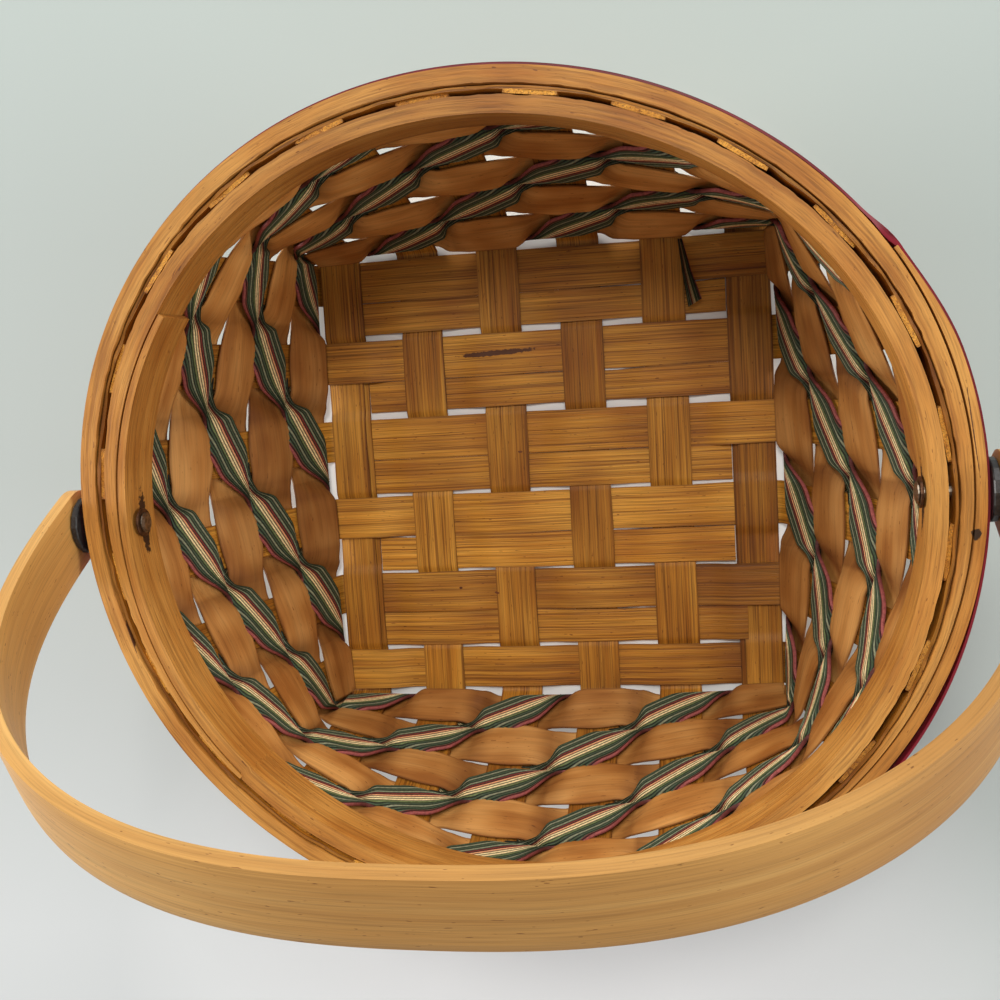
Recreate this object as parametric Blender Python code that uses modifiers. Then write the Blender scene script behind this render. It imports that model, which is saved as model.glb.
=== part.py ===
"""Pie basket: a round rim on a square woven base, with a swinging bentwood handle.

Twelve long splints cross in the base and turn up into the wall as 24 uprights.
Each wall row is a pair of strands, a wood splint and a striped ribbon, twined
round each other and round the uprights. The uprights end in a channel between
two bentwood hoops, and the handle swings on two rivets through the rim.

Metres, +Z up. The origin lies on the table under the middle of the base, +X
runs through the two rivets, and -Y is the side that the handle leans to.
"""
import math

import bmesh
import bpy
import numpy as np
from mathutils import Vector

# Rim, as an oval that is slightly egg-shaped, as a hoop bent by hand is
rim_top = 0.1216
rim_radius = 0.1495
rim_oval = 0.0039
rim_oval_turn = math.radians(-17.7)
rim_egg = 0.0009
rim_egg_turn = math.radians(23.3)
hoop_height = 0.021
outer_hoop_thickness = 0.0062
inner_hoop_thickness = 0.0065
hoop_edge_round = 0.0011
hoop_step = math.radians(7.5)

# Scarfed laps where the ends of each hoop pass each other
scarf_tip_thickness = 0.0015
lap_span = math.radians(75)
outer_lap_head = math.radians(37.5)
outer_lap_thickness = 0.0033
inner_lap_head = math.radians(157.5)
inner_lap_thickness = 0.0024

# Thin splints of the rim: the stained strip outside and the one in the channel
strip_thickness = 0.001
strip_drop = 0.0016
strip_foot = 0.0009
butt_gap = 0.0008
channel_splint_thickness = 0.0009
channel_splint_drop = 0.0012

# Base
base_half = 0.0975
base_shift = 0.002
splint_thickness = 0.0008
front_stake_width = 0.018
front_stake_inset = 0.001
side_stake_width = 0.018
side_stake_inset = 0.002
filler_seam = 0.0004
row_slit = 0.0026
cover_width = 0.0155
cover_set_out = 0.0009
crease_run = 0.0009
ramp_run = 0.0055
slit_ramp_inset = 0.0003

# Wall
stakes_per_side = 6
row_count = 5
first_row_height = 0.0129
row_pitch = 0.0194
wall_bulge = 1.35
wood_strand_width = 0.0182
wood_strand_thickness = 0.0009
wood_edge_width = 0.0105
ribbon_width = 0.0122
ribbon_thickness = 0.0011
ribbon_edge_width = 0.0096
crossing_width = 0.0082
crossing_drop = 0.0052
edge_drop_share = 0.8
strand_overhang = 0.0006
stake_recess = 0.001

# Clearances between pieces that touch on the real basket
gap = 0.0003
strand_gap = 0.0007
channel_gap = 0.0008

# Handle
handle_reach = 0.162
handle_width = 0.0255
handle_thickness = 0.0055
handle_edge_round = 0.0013
handle_corner_share = 0.816
handle_lean = math.radians(27.5)
pivot_drop = 0.0085
handle_arc_steps = 28
handle_straight_share = 0.35
handle_end_shares = (0.03, 0.18, 0.5)

# Rivets, washers and burrs
washer_radius = 0.0105
washer_thickness = 0.0024
washer_edge = 0.0004
shank_radius = 0.0024
hole_radius = 0.0027
rivet_head_radius = 0.0062
rivet_head_height = 0.0018
rivet_tail_radius = 0.0037
rivet_tail_height = 0.0009
burr_radius = 0.0052
burr_thickness = 0.0009
round_steps = 16
cut_overrun = 0.004

# Colours of the finishes, as linear RGB
splint_colour = (0.40, 0.19, 0.065)
strand_wood_colour = (0.38, 0.15, 0.045)
ribbon_colour = (0.09, 0.10, 0.06)
hoop_colour = (0.45, 0.22, 0.075)
handle_colour = (0.46, 0.22, 0.08)
stain_colour = (0.13, 0.012, 0.02)
washer_colour = (0.012, 0.012, 0.013)
metal_colour = (0.42, 0.40, 0.37)

# Sizes that follow from the ones above
stakes_from_middle = (stakes_per_side - 1) / 2
front_stake_pitch = (base_half - front_stake_inset - front_stake_width / 2) / stakes_from_middle
side_stake_pitch = (base_half - side_stake_inset - side_stake_width / 2) / stakes_from_middle
filler_width = side_stake_pitch - side_stake_width - filler_seam - row_slit
layer_step = splint_thickness + gap
lowest_layer = splint_thickness / 2
hoop_foot = rim_top - hoop_height
pivot_height = rim_top - pivot_drop
stake_count = 4 * stakes_per_side
stake_angle = 2 * math.pi / stake_count
channel_splint_inset = outer_hoop_thickness + gap
stake_inset = channel_splint_inset + channel_splint_thickness + channel_gap + splint_thickness / 2
inner_hoop_inset = stake_inset + splint_thickness / 2 + gap
inner_face_inset = inner_hoop_inset + inner_hoop_thickness


def rim_point(angle, inset, height):
    """Point at a distance inside the face of the outer hoop's main turn."""
    oval = rim_oval * math.cos(2 * (angle - rim_oval_turn))
    egg = rim_egg * math.cos(3 * (angle - rim_egg_turn))
    radius = rim_radius + oval + egg - inset
    return Vector((radius * math.cos(angle), radius * math.sin(angle), height))


def rim_tangent(angle):
    """Direction of the rim, counter-clockwise seen from above."""
    ahead = rim_point(angle + hoop_step, 0, 0)
    behind = rim_point(angle - hoop_step, 0, 0)
    return (ahead - behind).normalized()


def new_material(name, colour, roughness, metallic):
    """Plain finish for one sub-part."""
    material = bpy.data.materials.new(name + "_finish")
    material.use_nodes = True
    shader = material.node_tree.nodes["Principled BSDF"]
    shader.inputs["Base Color"].default_value = (*colour, 1)
    shader.inputs["Roughness"].default_value = roughness
    shader.inputs["Metallic"].default_value = metallic
    return material


def add_part(name, mesh, colour, roughness=0.6, metallic=0.0):
    """Put a mesh in the basket's collection with its own finish."""
    part = bpy.data.objects.new(name, mesh)
    part.data.materials.append(new_material(name, colour, roughness, metallic))
    basket.objects.link(part)
    return part


def loft(name, sections):
    """Closed body through like sections, each a ring of points, with both ends capped."""
    body = bmesh.new()
    rings = [[body.verts.new(point) for point in section] for section in sections]
    for ring, following in zip(rings, rings[1:]):
        for a in range(len(ring)):
            b = (a + 1) % len(ring)
            body.faces.new((ring[a], ring[b], following[b], following[a]))
    body.faces.new(rings[0])
    body.faces.new(rings[-1])
    bmesh.ops.recalc_face_normals(body, faces=body.faces)
    mesh = bpy.data.meshes.new(name)
    body.to_mesh(mesh)
    body.free()
    mesh.shade_smooth()
    mesh.set_sharp_from_angle(angle=math.radians(35))
    return mesh


def flat_section(frame, width, thickness):
    """Rectangle across a splint, from the frame's middle, width and outward directions."""
    middle, across, outward = frame
    half_width = across * (width / 2)
    half_depth = outward * (thickness / 2)
    return [middle + half_width + half_depth, middle + half_width - half_depth,
            middle - half_width - half_depth, middle - half_width + half_depth]


def topped_section(low, high, inner, outer, edge, place):
    """Rectangle with its two upper edges taken off, placed by a function of height and depth."""
    corners = ((low, outer), (high - edge, outer), (high, outer - edge),
               (high, inner + edge), (high - edge, inner), (low, inner))
    return [place(height, depth) for height, depth in corners]


def rounded_section(low, high, inner, outer, edge, place):
    """Rectangle with its four edges taken off, placed by a function of height and depth."""
    corners = ((low + edge, outer), (high - edge, outer), (high, outer - edge), (high, inner + edge),
               (high - edge, inner), (low + edge, inner), (low, inner + edge), (low, outer - edge))
    return [place(height, depth) for height, depth in corners]


# Uprights: each stake's line up the wall
def stake_side(index):
    """Outward and counter-clockwise directions of the base's side that a stake leaves."""
    side = ((index + stakes_per_side // 2) // stakes_per_side) % 4
    angle = side * math.pi / 2
    outward = Vector((round(math.cos(angle)), round(math.sin(angle)), 0))
    along = Vector((-outward.y, outward.x, 0))
    return outward, along


def stake_foot(index):
    """Point where a stake's line leaves the base."""
    outward, along = stake_side(index)
    place = (index + stakes_per_side // 2) % stakes_per_side - stakes_from_middle
    pitch = side_stake_pitch if outward.x else front_stake_pitch
    return outward * base_half + along * (place * pitch) + Vector((0, base_shift, 0))


def wall_share(height):
    """How far out towards the rim the wall has come at a height, from 0 to 1."""
    return 1 - (1 - min(height / hoop_foot, 1)) ** wall_bulge


def wall_point(index, height):
    """Middle of a stake's thickness at a height."""
    rim = rim_point((index + 0.5) * stake_angle, stake_inset, 0)
    spot = stake_foot(index).lerp(rim, wall_share(height))
    spot.z = height
    return spot


def wall_across(index, height):
    """Counter-clockwise direction across a stake, which turns towards the rim's as it rises."""
    along = stake_side(index)[1]
    return along.lerp(rim_tangent((index + 0.5) * stake_angle), wall_share(height)).normalized()


def row_levels(row):
    """Heights of the lower and upper limits of a row; the row above the last is the rim's."""
    low = 0 if row == 0 else first_row_height + (row - 0.5) * row_pitch
    high = first_row_height + (row + 0.5) * row_pitch
    if row == row_count - 1:
        high = hoop_foot
    if row == row_count:
        low = hoop_foot
        high = rim_top - stake_recess
    return low, high


def stake_run(index, row, height):
    """Middle, direction across and outward direction of a stake, which runs straight in a row."""
    low, high = row_levels(row)
    share = (height - low) / (high - low)
    lower = wall_point(index, low)
    upper = wall_point(index, high)
    across = wall_across(index, low).lerp(wall_across(index, high), share)
    return lower.lerp(upper, share), across, across.cross(upper - lower).normalized()


def wall_spot(index, row, height, place, depth):
    """Point of a row at a place across a stake and a depth outside it."""
    middle, across, outward = stake_run(index, row, height)
    return middle + across * place + outward * depth


# Base weave
def plain_weave_over(column, row):
    """True where a front-to-back stake passes over a side-to-side one."""
    return (column + row) % 2 == 0


def side_row_place(row):
    """Y of a side-to-side stake; row 0 is at the back."""
    return base_shift + (stakes_from_middle - row) * side_stake_pitch


def column_place(column):
    """X of a front-to-back stake; column 0 is at the left."""
    return (column - stakes_from_middle) * front_stake_pitch


def filler_place(row):
    """Y of the filler splint in front of a side-to-side stake."""
    return side_row_place(row) - side_stake_width / 2 - filler_seam - filler_width / 2


def side_layer(row, column):
    """Layer of a side-to-side stake in a column; the edge columns hold a cover splint too."""
    if plain_weave_over(column, row):
        return 0
    return 2 if column in (0, stakes_per_side - 1) else 1


def run_heights(spans, ramp_inset):
    """Stations (place, layer) of a splint over level spans (start, end, layer).

    The splint keeps to the lower layer until it has to climb, so each ramp
    lies against the higher span.
    """
    stations = [(spans[0][0], spans[0][2])]
    for here, there in zip(spans, spans[1:]):
        room = there[0] - here[1]
        if here[2] == there[2]:
            continue
        if room > 2 * ramp_run:
            climbs = there[2] > here[2]
            start = there[0] - ramp_run if climbs else here[1]
            stations += [(start, here[2]), (start + ramp_run, there[2])]
        else:
            stations += [(here[1] + ramp_inset, here[2]), (there[0] - ramp_inset, there[2])]
    stations.append((spans[-1][1], spans[-1][2]))
    return stations


def layer_height(layer):
    """Middle height of a splint in a layer of the base."""
    return lowest_layer + layer * layer_step


def leg_frames(index, layer, sign):
    """Frames of a stake from its crease at the base to its top in the rim channel."""
    height = layer_height(layer)
    middle, across, outward = stake_run(index, 0, height)
    side_out, along = stake_side(index)
    rise = (stake_run(index, 0, height + row_pitch)[0] - middle).normalized()
    turn = side_out.angle(rise)
    sagitta = crease_run * math.tan(turn / 4)
    inward = (rise - side_out).normalized()
    down = Vector((0, 0, -1))
    frames = [(middle - side_out * crease_run, along * sign, down),
              (middle + inward * sagitta, along * sign, (down + outward).normalized()),
              (middle + rise * crease_run, across * sign, outward)]
    place = (index + stakes_per_side // 2) % stakes_per_side - stakes_from_middle
    steps = int(abs(place) + 0.5)
    crease_top = frames[-1][0].z
    for row in range(row_count):
        low, high = row_levels(row)
        low = max(low, crease_top)
        for step in range(steps):
            level = low + (high - low) * (step + 1) / steps
            spot, direction, facing = stake_run(index, row, level)
            frames.append((spot, direction * sign, facing))
    spot, direction, facing = stake_run(index, row_count, rim_top - stake_recess)
    frames.append((spot, direction * sign, facing))
    return frames


def base_frames(stations, place, lengthwise, across):
    """Frames of a splint's run in the base."""
    down = Vector((0, 0, -1))
    frames = []
    for along, layer in stations:
        middle = lengthwise * along + across * place
        middle.z = layer_height(layer)
        frames.append((middle, across, down))
    return frames


def add_splint(name, frames, width, colour=splint_colour):
    """Flat splint of one width through its frames."""
    sections = [flat_section(frame, width, splint_thickness) for frame in frames]
    return add_part(name, loft(name, sections), colour, roughness=0.55)


def side_stake(row):
    """Side-to-side stake: base run and its two wall legs."""
    half = front_stake_width / 2
    spans = []
    for column in range(stakes_per_side):
        middle = column_place(column)
        spans.append((middle - half, middle + half, side_layer(row, column)))
    stations = run_heights(spans, 0)[1:-1]
    left = stake_count // 2 - stakes_per_side // 2 + row
    right = (stakes_per_side // 2 - 1 - row) % stake_count
    base = base_frames(stations, side_row_place(row), Vector((1, 0, 0)), Vector((0, 1, 0)))
    left_leg = leg_frames(left, spans[0][2], -1)
    right_leg = leg_frames(right, spans[-1][2], 1)
    frames = left_leg[::-1] + base + right_leg
    return add_splint(f"side_stake_{row + 1}", frames, side_stake_width)


def row_spans(column, layers):
    """Level spans of a front-to-back splint, from the front row to the back row."""
    spans = []
    for row in reversed(range(stakes_per_side)):
        middle = side_row_place(row)
        low = middle - side_stake_width / 2
        if row_has_filler(row, column):
            low -= filler_seam + filler_width
        spans.append((low, middle + side_stake_width / 2, layers(column, row)))
    return spans


def row_has_filler(row, column):
    """True where the filler beside a stake reaches a column."""
    if row == stakes_per_side - 1:
        return False
    if column == 0:
        return row % 2 == 0
    if column == stakes_per_side - 1:
        return row % 2 == 1 and row != 3
    return True


def front_layer(column, row):
    """Layer of a front-to-back stake at a row."""
    return 1 if plain_weave_over(column, row) else 0


def front_stake(column):
    """Front-to-back stake: base run and its two wall legs."""
    spans = row_spans(column, front_layer)
    stations = run_heights(spans, slit_ramp_inset)[1:-1]
    front = stake_count - stake_count // 4 - stakes_per_side // 2 + column
    back = stake_count // 4 + stakes_per_side // 2 - 1 - column
    base = base_frames(stations, column_place(column), Vector((0, 1, 0)), Vector((1, 0, 0)))
    front_leg = leg_frames(front, spans[0][2], 1)
    back_leg = leg_frames(back, spans[-1][2], -1)
    frames = front_leg[::-1] + base + back_leg
    return add_splint(f"front_stake_{column + 1}", frames, front_stake_width)


def filler(row):
    """Short splint beside a side-to-side stake, ending at the edge of the base."""
    half = front_stake_width / 2
    first = 0 if row_has_filler(row, 0) else 1
    last = stakes_per_side - 1 if row_has_filler(row, stakes_per_side - 1) else stakes_per_side - 2
    spans = []
    for column in range(first, last + 1):
        middle = column_place(column)
        spans.append((middle - half, middle + half, side_layer(row, column)))
    reach = front_stake_pitch - front_stake_width - gap
    if first == 1:
        spans[0] = (spans[0][0] - reach, spans[0][1], spans[0][2])
    if last == stakes_per_side - 2:
        spans[-1] = (spans[-1][0], spans[-1][1] + reach, spans[-1][2])
    stations = run_heights(spans, 0)
    frames = base_frames(stations, filler_place(row), Vector((1, 0, 0)), Vector((0, 1, 0)))
    return add_splint(f"filler_splint_{row + 1}", frames, filler_width)


def cover_layer(column, row):
    """Layer of the cover splint that doubles an edge stake."""
    return front_layer(column, row) + 1


def edge_cover(name, column):
    """Splint laid over the first or last front-to-back stake."""
    spans = row_spans(column, cover_layer)
    stations = run_heights(spans, slit_ramp_inset)
    side = math.copysign(1, column_place(column))
    place = column_place(column) + side * cover_set_out
    frames = base_frames(stations, place, Vector((0, 1, 0)), Vector((1, 0, 0)))
    return add_splint(name, frames, cover_width)


# Twined wall rows
def strand_section(row, index, kind, level, sizes, thickness):
    """Rectangle across a strand at one of its places beside a stake.

    level is -1 inside the stake and 1 outside it. Inside a stake a strand
    runs down counter-clockwise and outside it runs up, and in the gap after
    the stake it crosses the other strand of its row.
    """
    centre = first_row_height + row * row_pitch
    depth = level * (splint_thickness / 2 + strand_gap + thickness / 2)
    edge = stake_reach(index)
    drop = level * crossing_drop
    if kind == "crossing":
        following = (index + 1) % stake_count
        nearby = stake_reach(following)

        def put(height, offset):
            here = wall_spot(index, row, height, edge, offset)
            return here.lerp(wall_spot(following, row, height, -nearby, offset), 0.5)

        return flat_rectangle(put, centre + drop, sizes[kind], 0, thickness)
    place = {"start": -edge, "first": butt_gap / 2, "middle": 0, "last": -butt_gap / 2, "end": edge}[kind]
    shift = drop * edge_drop_share * round(place / edge)
    width = sizes["edge"] if kind in ("start", "end") else sizes["middle"]

    def put_beside(height, offset):
        return wall_spot(index, row, height, place, offset)

    return flat_rectangle(put_beside, centre + shift, width, depth, thickness)


def stake_reach(index):
    """Distance from a stake's middle to where the strands leave its side."""
    width = side_stake_width if stake_side(index)[0].x else front_stake_width
    return width / 2 + strand_overhang


def flat_rectangle(put, centre, width, depth, thickness):
    """Four corners of a strand's section, placed by a function of height and depth."""
    low = centre - width / 2
    high = centre + width / 2
    inner = depth - thickness / 2
    outer = depth + thickness / 2
    return [put(high, outer), put(high, inner), put(low, inner), put(low, outer)]


def add_strand(name, row, parity, sizes, thickness, colour, kinds):
    """One strand of a twined row, its ends butted at the middle of the first stake."""
    stations = [(0, "first"), (0, "end"), (0, "crossing")]
    for index in range(1, stake_count):
        stations += [(index, kind) for kind in kinds]
    stations += [(0, "start"), (0, "last")]
    sections = []
    for index, kind in stations:
        level = -1 if (index + row + parity) % 2 == 0 else 1
        sections.append(strand_section(row, index, kind, level, sizes, thickness))
    return add_part(name, loft(name, sections), colour, roughness=0.6)


def wall_rows():
    """A wood splint and a ribbon in each row, shifted by one stake from row to row."""
    wood_sizes = {"middle": wood_strand_width, "edge": wood_edge_width, "crossing": crossing_width}
    ribbon_sizes = {"middle": ribbon_width, "edge": ribbon_edge_width, "crossing": crossing_width}
    for row in range(row_count):
        add_strand(f"wall_splint_{row + 1}", row, 0, wood_sizes, wood_strand_thickness,
                   strand_wood_colour, ("start", "middle", "end", "crossing"))
        add_strand(f"wall_ribbon_{row + 1}", row, 1, ribbon_sizes, ribbon_thickness,
                   ribbon_colour, ("start", "end", "crossing"))


# Rim
def lap_offset(angle_from_head, thickness):
    """How far the exposed face of the lapping end stands off the main face."""
    share = 1 - angle_from_head / lap_span
    return (gap + thickness) * max(share, 0)


def outer_lap_at(angle):
    """Stand-off of the outer hoop's lapping end at an angle round the rim."""
    turned = (outer_lap_head - angle) % (2 * math.pi)
    return lap_offset(turned, outer_lap_thickness) if turned <= lap_span else 0


def inner_lap_at(angle):
    """Stand-off of the inner hoop's lapping end at an angle round the rim."""
    turned = (angle - inner_lap_head) % (2 * math.pi)
    return lap_offset(turned, inner_lap_thickness) if turned <= lap_span else 0


def lapped_hoop(name, face_inset, thickness, lap_thickness, head, turn, exposed):
    """Bentwood hoop whose squared end laps over its own scarfed tail.

    turn is +1 counter-clockwise from the head, and exposed is +1 where the
    lap shows on the outside of the hoop.
    """
    lap_steps = round(lap_span / hoop_step)
    full_steps = round(2 * math.pi / hoop_step)
    scarf = thickness - scarf_tip_thickness
    sections = []
    for step in range(full_steps + lap_steps + 1):
        turned = step * hoop_step
        face = lap_offset(turned, lap_thickness) if step <= lap_steps else 0
        mating = -thickness
        if step <= lap_steps:
            mating = gap - scarf * turned / lap_span
        if step > full_steps:
            face = -scarf * (turned - 2 * math.pi) / lap_span
        angle = head + turn * turned

        def place(height, offset, angle=angle):
            return rim_point(angle, face_inset - exposed * offset, height)

        edge = min(hoop_edge_round, (face - mating) / 4)
        sections.append(topped_section(hoop_foot, rim_top, mating, face, edge, place))
    return add_part(name, loft(name, sections), hoop_colour, roughness=0.5)


def thin_ring(name, low, high, thickness, inset_at, colour):
    """Thin splint round the rim, its ends butted at the front."""
    front = -math.pi / 2
    full_steps = round(2 * math.pi / hoop_step)
    sections = []
    for step in range(full_steps + 1):
        angle = front + step * hoop_step
        face = inset_at(angle)
        nudge = 0
        if step in (0, full_steps):
            nudge = butt_gap / 2 if step == 0 else -butt_gap / 2
        slide = rim_tangent(angle) * nudge
        outer_low = rim_point(angle, face, low) + slide
        outer_high = rim_point(angle, face, high) + slide
        inner_high = rim_point(angle, face + thickness, high) + slide
        inner_low = rim_point(angle, face + thickness, low) + slide
        sections.append([outer_low, outer_high, inner_high, inner_low])
    return add_part(name, loft(name, sections), colour, roughness=0.5)


def strip_inset(angle):
    """Outer face of the stained strip, which wraps the outer hoop and its lap."""
    return -(outer_lap_at(angle) + gap + strip_thickness)


def channel_inset(angle):
    """Outer face of the splint that lines the channel."""
    return channel_splint_inset


def lapped_inner_inset(angle):
    """Inner face of the inner hoop, with its lap."""
    return inner_face_inset + inner_lap_at(angle)


# Handle and its pivots
def pivot_face_distances(side, inset_at, reach):
    """Distances along the hinge line to a face of the rim, on it and at a reach to both sides."""
    middle = 0 if side > 0 else math.pi
    spot = rim_point(middle, inset_at(middle), 0)
    distances = [abs(spot.x)]
    for step in (-hoop_step, hoop_step):
        neighbour = rim_point(middle + step, inset_at(middle + step), 0)
        share = reach / abs(neighbour.y)
        distances.append(abs(spot.lerp(neighbour, share).x))
    return distances


def rim_face_at_pivot(side):
    """Distance at which a washer clears the stained strip."""
    return max(pivot_face_distances(side, strip_inset, washer_radius))


def inner_face_at_pivot(side):
    """Distance at which a burr clears the inner hoop."""
    return min(pivot_face_distances(side, lapped_inner_inset, burr_radius))


def handle_face_at_pivot(side):
    """Distance to the handle's inner face at a pivot."""
    return rim_face_at_pivot(side) + gap + washer_thickness + gap


def handle_line():
    """Points, outward directions and half widths along the handle, in its own plane."""
    right = handle_face_at_pivot(1) + handle_thickness / 2
    left = handle_face_at_pivot(-1) + handle_thickness / 2
    half_span = (right + left) / 2
    shift = (right - left) / 2
    end = handle_width / 2
    line = []
    for share in handle_end_shares:
        half_width = math.sqrt(end ** 2 - (end * (1 - share)) ** 2)
        line.append((Vector((half_span, 0, end * (share - 1))), half_width))
    steps = [0, handle_straight_share, *range(1, handle_arc_steps)]
    steps += [handle_arc_steps - handle_straight_share, handle_arc_steps]
    for step in steps:
        angle = math.pi * step / handle_arc_steps
        across = math.copysign(abs(math.cos(angle)) ** handle_corner_share, math.cos(angle)) * half_span
        line.append((Vector((across, 0, handle_reach * math.sin(angle) ** handle_corner_share)), end))
    for share in reversed(handle_end_shares):
        half_width = math.sqrt(end ** 2 - (end * (1 - share)) ** 2)
        line.append((Vector((-half_span, 0, end * (share - 1))), half_width))
    return [(spot + Vector((shift, 0, 0)), half_width) for spot, half_width in line]


def handle():
    """Flat bentwood strip bent into a hoop, with rounded ends on the hinge line."""
    line = handle_line()
    sections = []
    for place, (spot, half_width) in enumerate(line):
        before = line[max(place - 1, 0)][0]
        after = line[min(place + 1, len(line) - 1)][0]
        along = (after - before).normalized()
        outward = Vector((along.z, 0, -along.x))

        def put(width, depth, spot=spot, outward=outward):
            return spot + Vector((0, width, 0)) + outward * depth

        edge = min(handle_edge_round, half_width / 2)
        depth = handle_thickness / 2
        sections.append(rounded_section(-half_width, half_width, -depth, depth, edge, put))
    part = add_part("handle", loft("handle", sections), handle_colour, roughness=0.4)
    part.location = (0, 0, pivot_height)
    part.rotation_euler = (handle_lean, 0, 0)
    return part


def turned(name, profile, colour, roughness, metallic):
    """Body of revolution about local Z from a profile of (radius, height), top to bottom."""
    mesh = bpy.data.meshes.new(name)
    points = [(radius, 0, height) for radius, height in profile]
    edges = [(place, place + 1) for place in range(len(points) - 1)]
    if profile[0][0] > 0:
        edges.append((len(points) - 1, 0))
    mesh.from_pydata(points, edges, [])
    part = add_part(name, mesh, colour, roughness, metallic)
    screw = part.modifiers.new("turn", "SCREW")
    screw.steps = round_steps
    screw.render_steps = round_steps
    screw.use_merge_vertices = True
    screw.merge_threshold = 0.00001
    screw.use_smooth_shade = False
    return part


def aim_outward(part, side, distance):
    """Turn a part's local Z along the hinge line, pointing away from the basket."""
    part.rotation_euler = (0, side * math.pi / 2, 0)
    part.location = (side * distance, 0, pivot_height)


def ring_profile(inner, outer, low, high, edge):
    """Profile of a flat ring with its outer corners taken off."""
    return [(inner, high), (outer - edge, high), (outer, high - edge), (outer, low + edge),
            (outer - edge, low), (inner, low)]


def pivot(side_name, side):
    """Rivet, black washer and burr on one side of the rim."""
    washer = turned(f"washer_{side_name}",
                    ring_profile(hole_radius, washer_radius, 0, washer_thickness, washer_edge),
                    washer_colour, 0.35, 0)
    aim_outward(washer, side, rim_face_at_pivot(side) + gap)
    burr_face = inner_face_at_pivot(side) - gap
    burr = turned(f"burr_{side_name}",
                  ring_profile(hole_radius, burr_radius, -burr_thickness, 0, washer_edge / 2),
                  metal_colour, 0.4, 1)
    aim_outward(burr, side, burr_face)
    head_face = handle_face_at_pivot(side) + handle_thickness + gap
    tail_face = burr_face - burr_thickness - gap
    shank = head_face - tail_face
    profile = [(0, rivet_head_height), (rivet_head_radius * math.sin(math.pi / 6), rivet_head_height * math.cos(math.pi / 6)),
               (rivet_head_radius * math.cos(math.pi / 6), rivet_head_height / 2),
               (rivet_head_radius, 0), (shank_radius, 0), (shank_radius, -shank),
               (rivet_tail_radius, -shank), (rivet_tail_radius, -shank - rivet_tail_height / 2),
               (shank_radius, -shank - rivet_tail_height), (0, -shank - rivet_tail_height)]
    rivet = turned(f"rivet_{side_name}", profile, metal_colour, 0.4, 1)
    aim_outward(rivet, side, head_face)
    return head_face


def rivet_hole(side_name, side, head_face):
    """Cutter for the rivet's holes through the rim and the handle."""
    start = inner_face_at_pivot(side) - cut_overrun
    end = head_face + cut_overrun
    mesh = bpy.data.meshes.new(f"rivet_hole_{side_name}")
    body = bmesh.new()
    bmesh.ops.create_cone(body, cap_ends=True, segments=round_steps, radius1=hole_radius,
                          radius2=hole_radius, depth=end - start)
    body.to_mesh(mesh)
    body.free()
    cutter = bpy.data.objects.new(f"rivet_hole_{side_name}", mesh)
    cutter.hide_render = True
    cutter.display_type = "WIRE"
    cutters.objects.link(cutter)
    aim_outward(cutter, side, (start + end) / 2)
    return cutter


def cut(part, cutter):
    """Take a cutter's shape out of a part."""
    boolean = part.modifiers.new(cutter.name, "BOOLEAN")
    boolean.operation = "DIFFERENCE"
    boolean.solver = "EXACT"
    boolean.object = cutter


for old in list(bpy.data.objects):
    bpy.data.objects.remove(old)
basket = bpy.data.collections.new("Pie basket")
cutters = bpy.data.collections.new("Cutters")
bpy.context.scene.collection.children.link(basket)
bpy.context.scene.collection.children.link(cutters)

for stake in range(stakes_per_side):
    side_stake(stake)
    front_stake(stake)
for row in range(stakes_per_side - 1):
    filler(row)
edge_cover("edge_cover_left", 0)
edge_cover("edge_cover_right", stakes_per_side - 1)
wall_rows()

outer_hoop = lapped_hoop("outer_hoop", 0, outer_hoop_thickness, outer_lap_thickness,
                         outer_lap_head, -1, 1)
inner_hoop = lapped_hoop("inner_hoop", inner_face_inset, inner_hoop_thickness,
                         inner_lap_thickness, inner_lap_head, 1, -1)
rim_strip = thin_ring("rim_strip", hoop_foot + strip_foot, rim_top - strip_drop,
                      strip_thickness, strip_inset, stain_colour)
channel_splint = thin_ring("channel_splint", hoop_foot, rim_top - channel_splint_drop,
                           channel_splint_thickness, channel_inset, splint_colour)
swing_handle = handle()
for side_name, side in (("left", -1), ("right", 1)):
    hole = rivet_hole(side_name, side, pivot(side_name, side))
    for drilled in (outer_hoop, inner_hoop, rim_strip, channel_splint, swing_handle):
        cut(drilled, hole)
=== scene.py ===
import math

import bpy
import numpy as np
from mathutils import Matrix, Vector


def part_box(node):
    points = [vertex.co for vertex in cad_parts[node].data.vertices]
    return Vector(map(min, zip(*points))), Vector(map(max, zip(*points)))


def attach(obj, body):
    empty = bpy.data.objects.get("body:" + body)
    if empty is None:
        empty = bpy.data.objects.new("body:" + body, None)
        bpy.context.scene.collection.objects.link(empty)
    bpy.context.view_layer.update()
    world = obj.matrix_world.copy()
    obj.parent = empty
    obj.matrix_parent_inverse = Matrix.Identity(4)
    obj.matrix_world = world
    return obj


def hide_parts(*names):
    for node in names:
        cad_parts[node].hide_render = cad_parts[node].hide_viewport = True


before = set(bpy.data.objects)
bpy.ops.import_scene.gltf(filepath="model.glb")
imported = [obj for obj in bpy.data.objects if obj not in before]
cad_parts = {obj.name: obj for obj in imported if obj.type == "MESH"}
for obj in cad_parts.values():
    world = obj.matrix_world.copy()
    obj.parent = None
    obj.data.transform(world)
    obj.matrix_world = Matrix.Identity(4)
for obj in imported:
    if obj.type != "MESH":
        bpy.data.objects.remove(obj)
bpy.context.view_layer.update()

# Long splints. Twelve thin ash splints cross in the base in a plain weave, and
# both ends of each turn up at the edge of the base and climb the wall as
# uprights. They are sawn flat, 18 mm wide, and left unstained.
rim_top = 0.1216
rim_radius = 0.1495
hoop_height = 0.021
hoop_foot = rim_top - hoop_height
base_half = 0.0975
base_shift = 0.002
splint_half = 0.0004
stake_half_width = 0.009
front_pitch = 0.035
side_pitch = 0.0346
layer_step = 0.0011
stake_inset = 0.0086
stakes = 24


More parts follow.
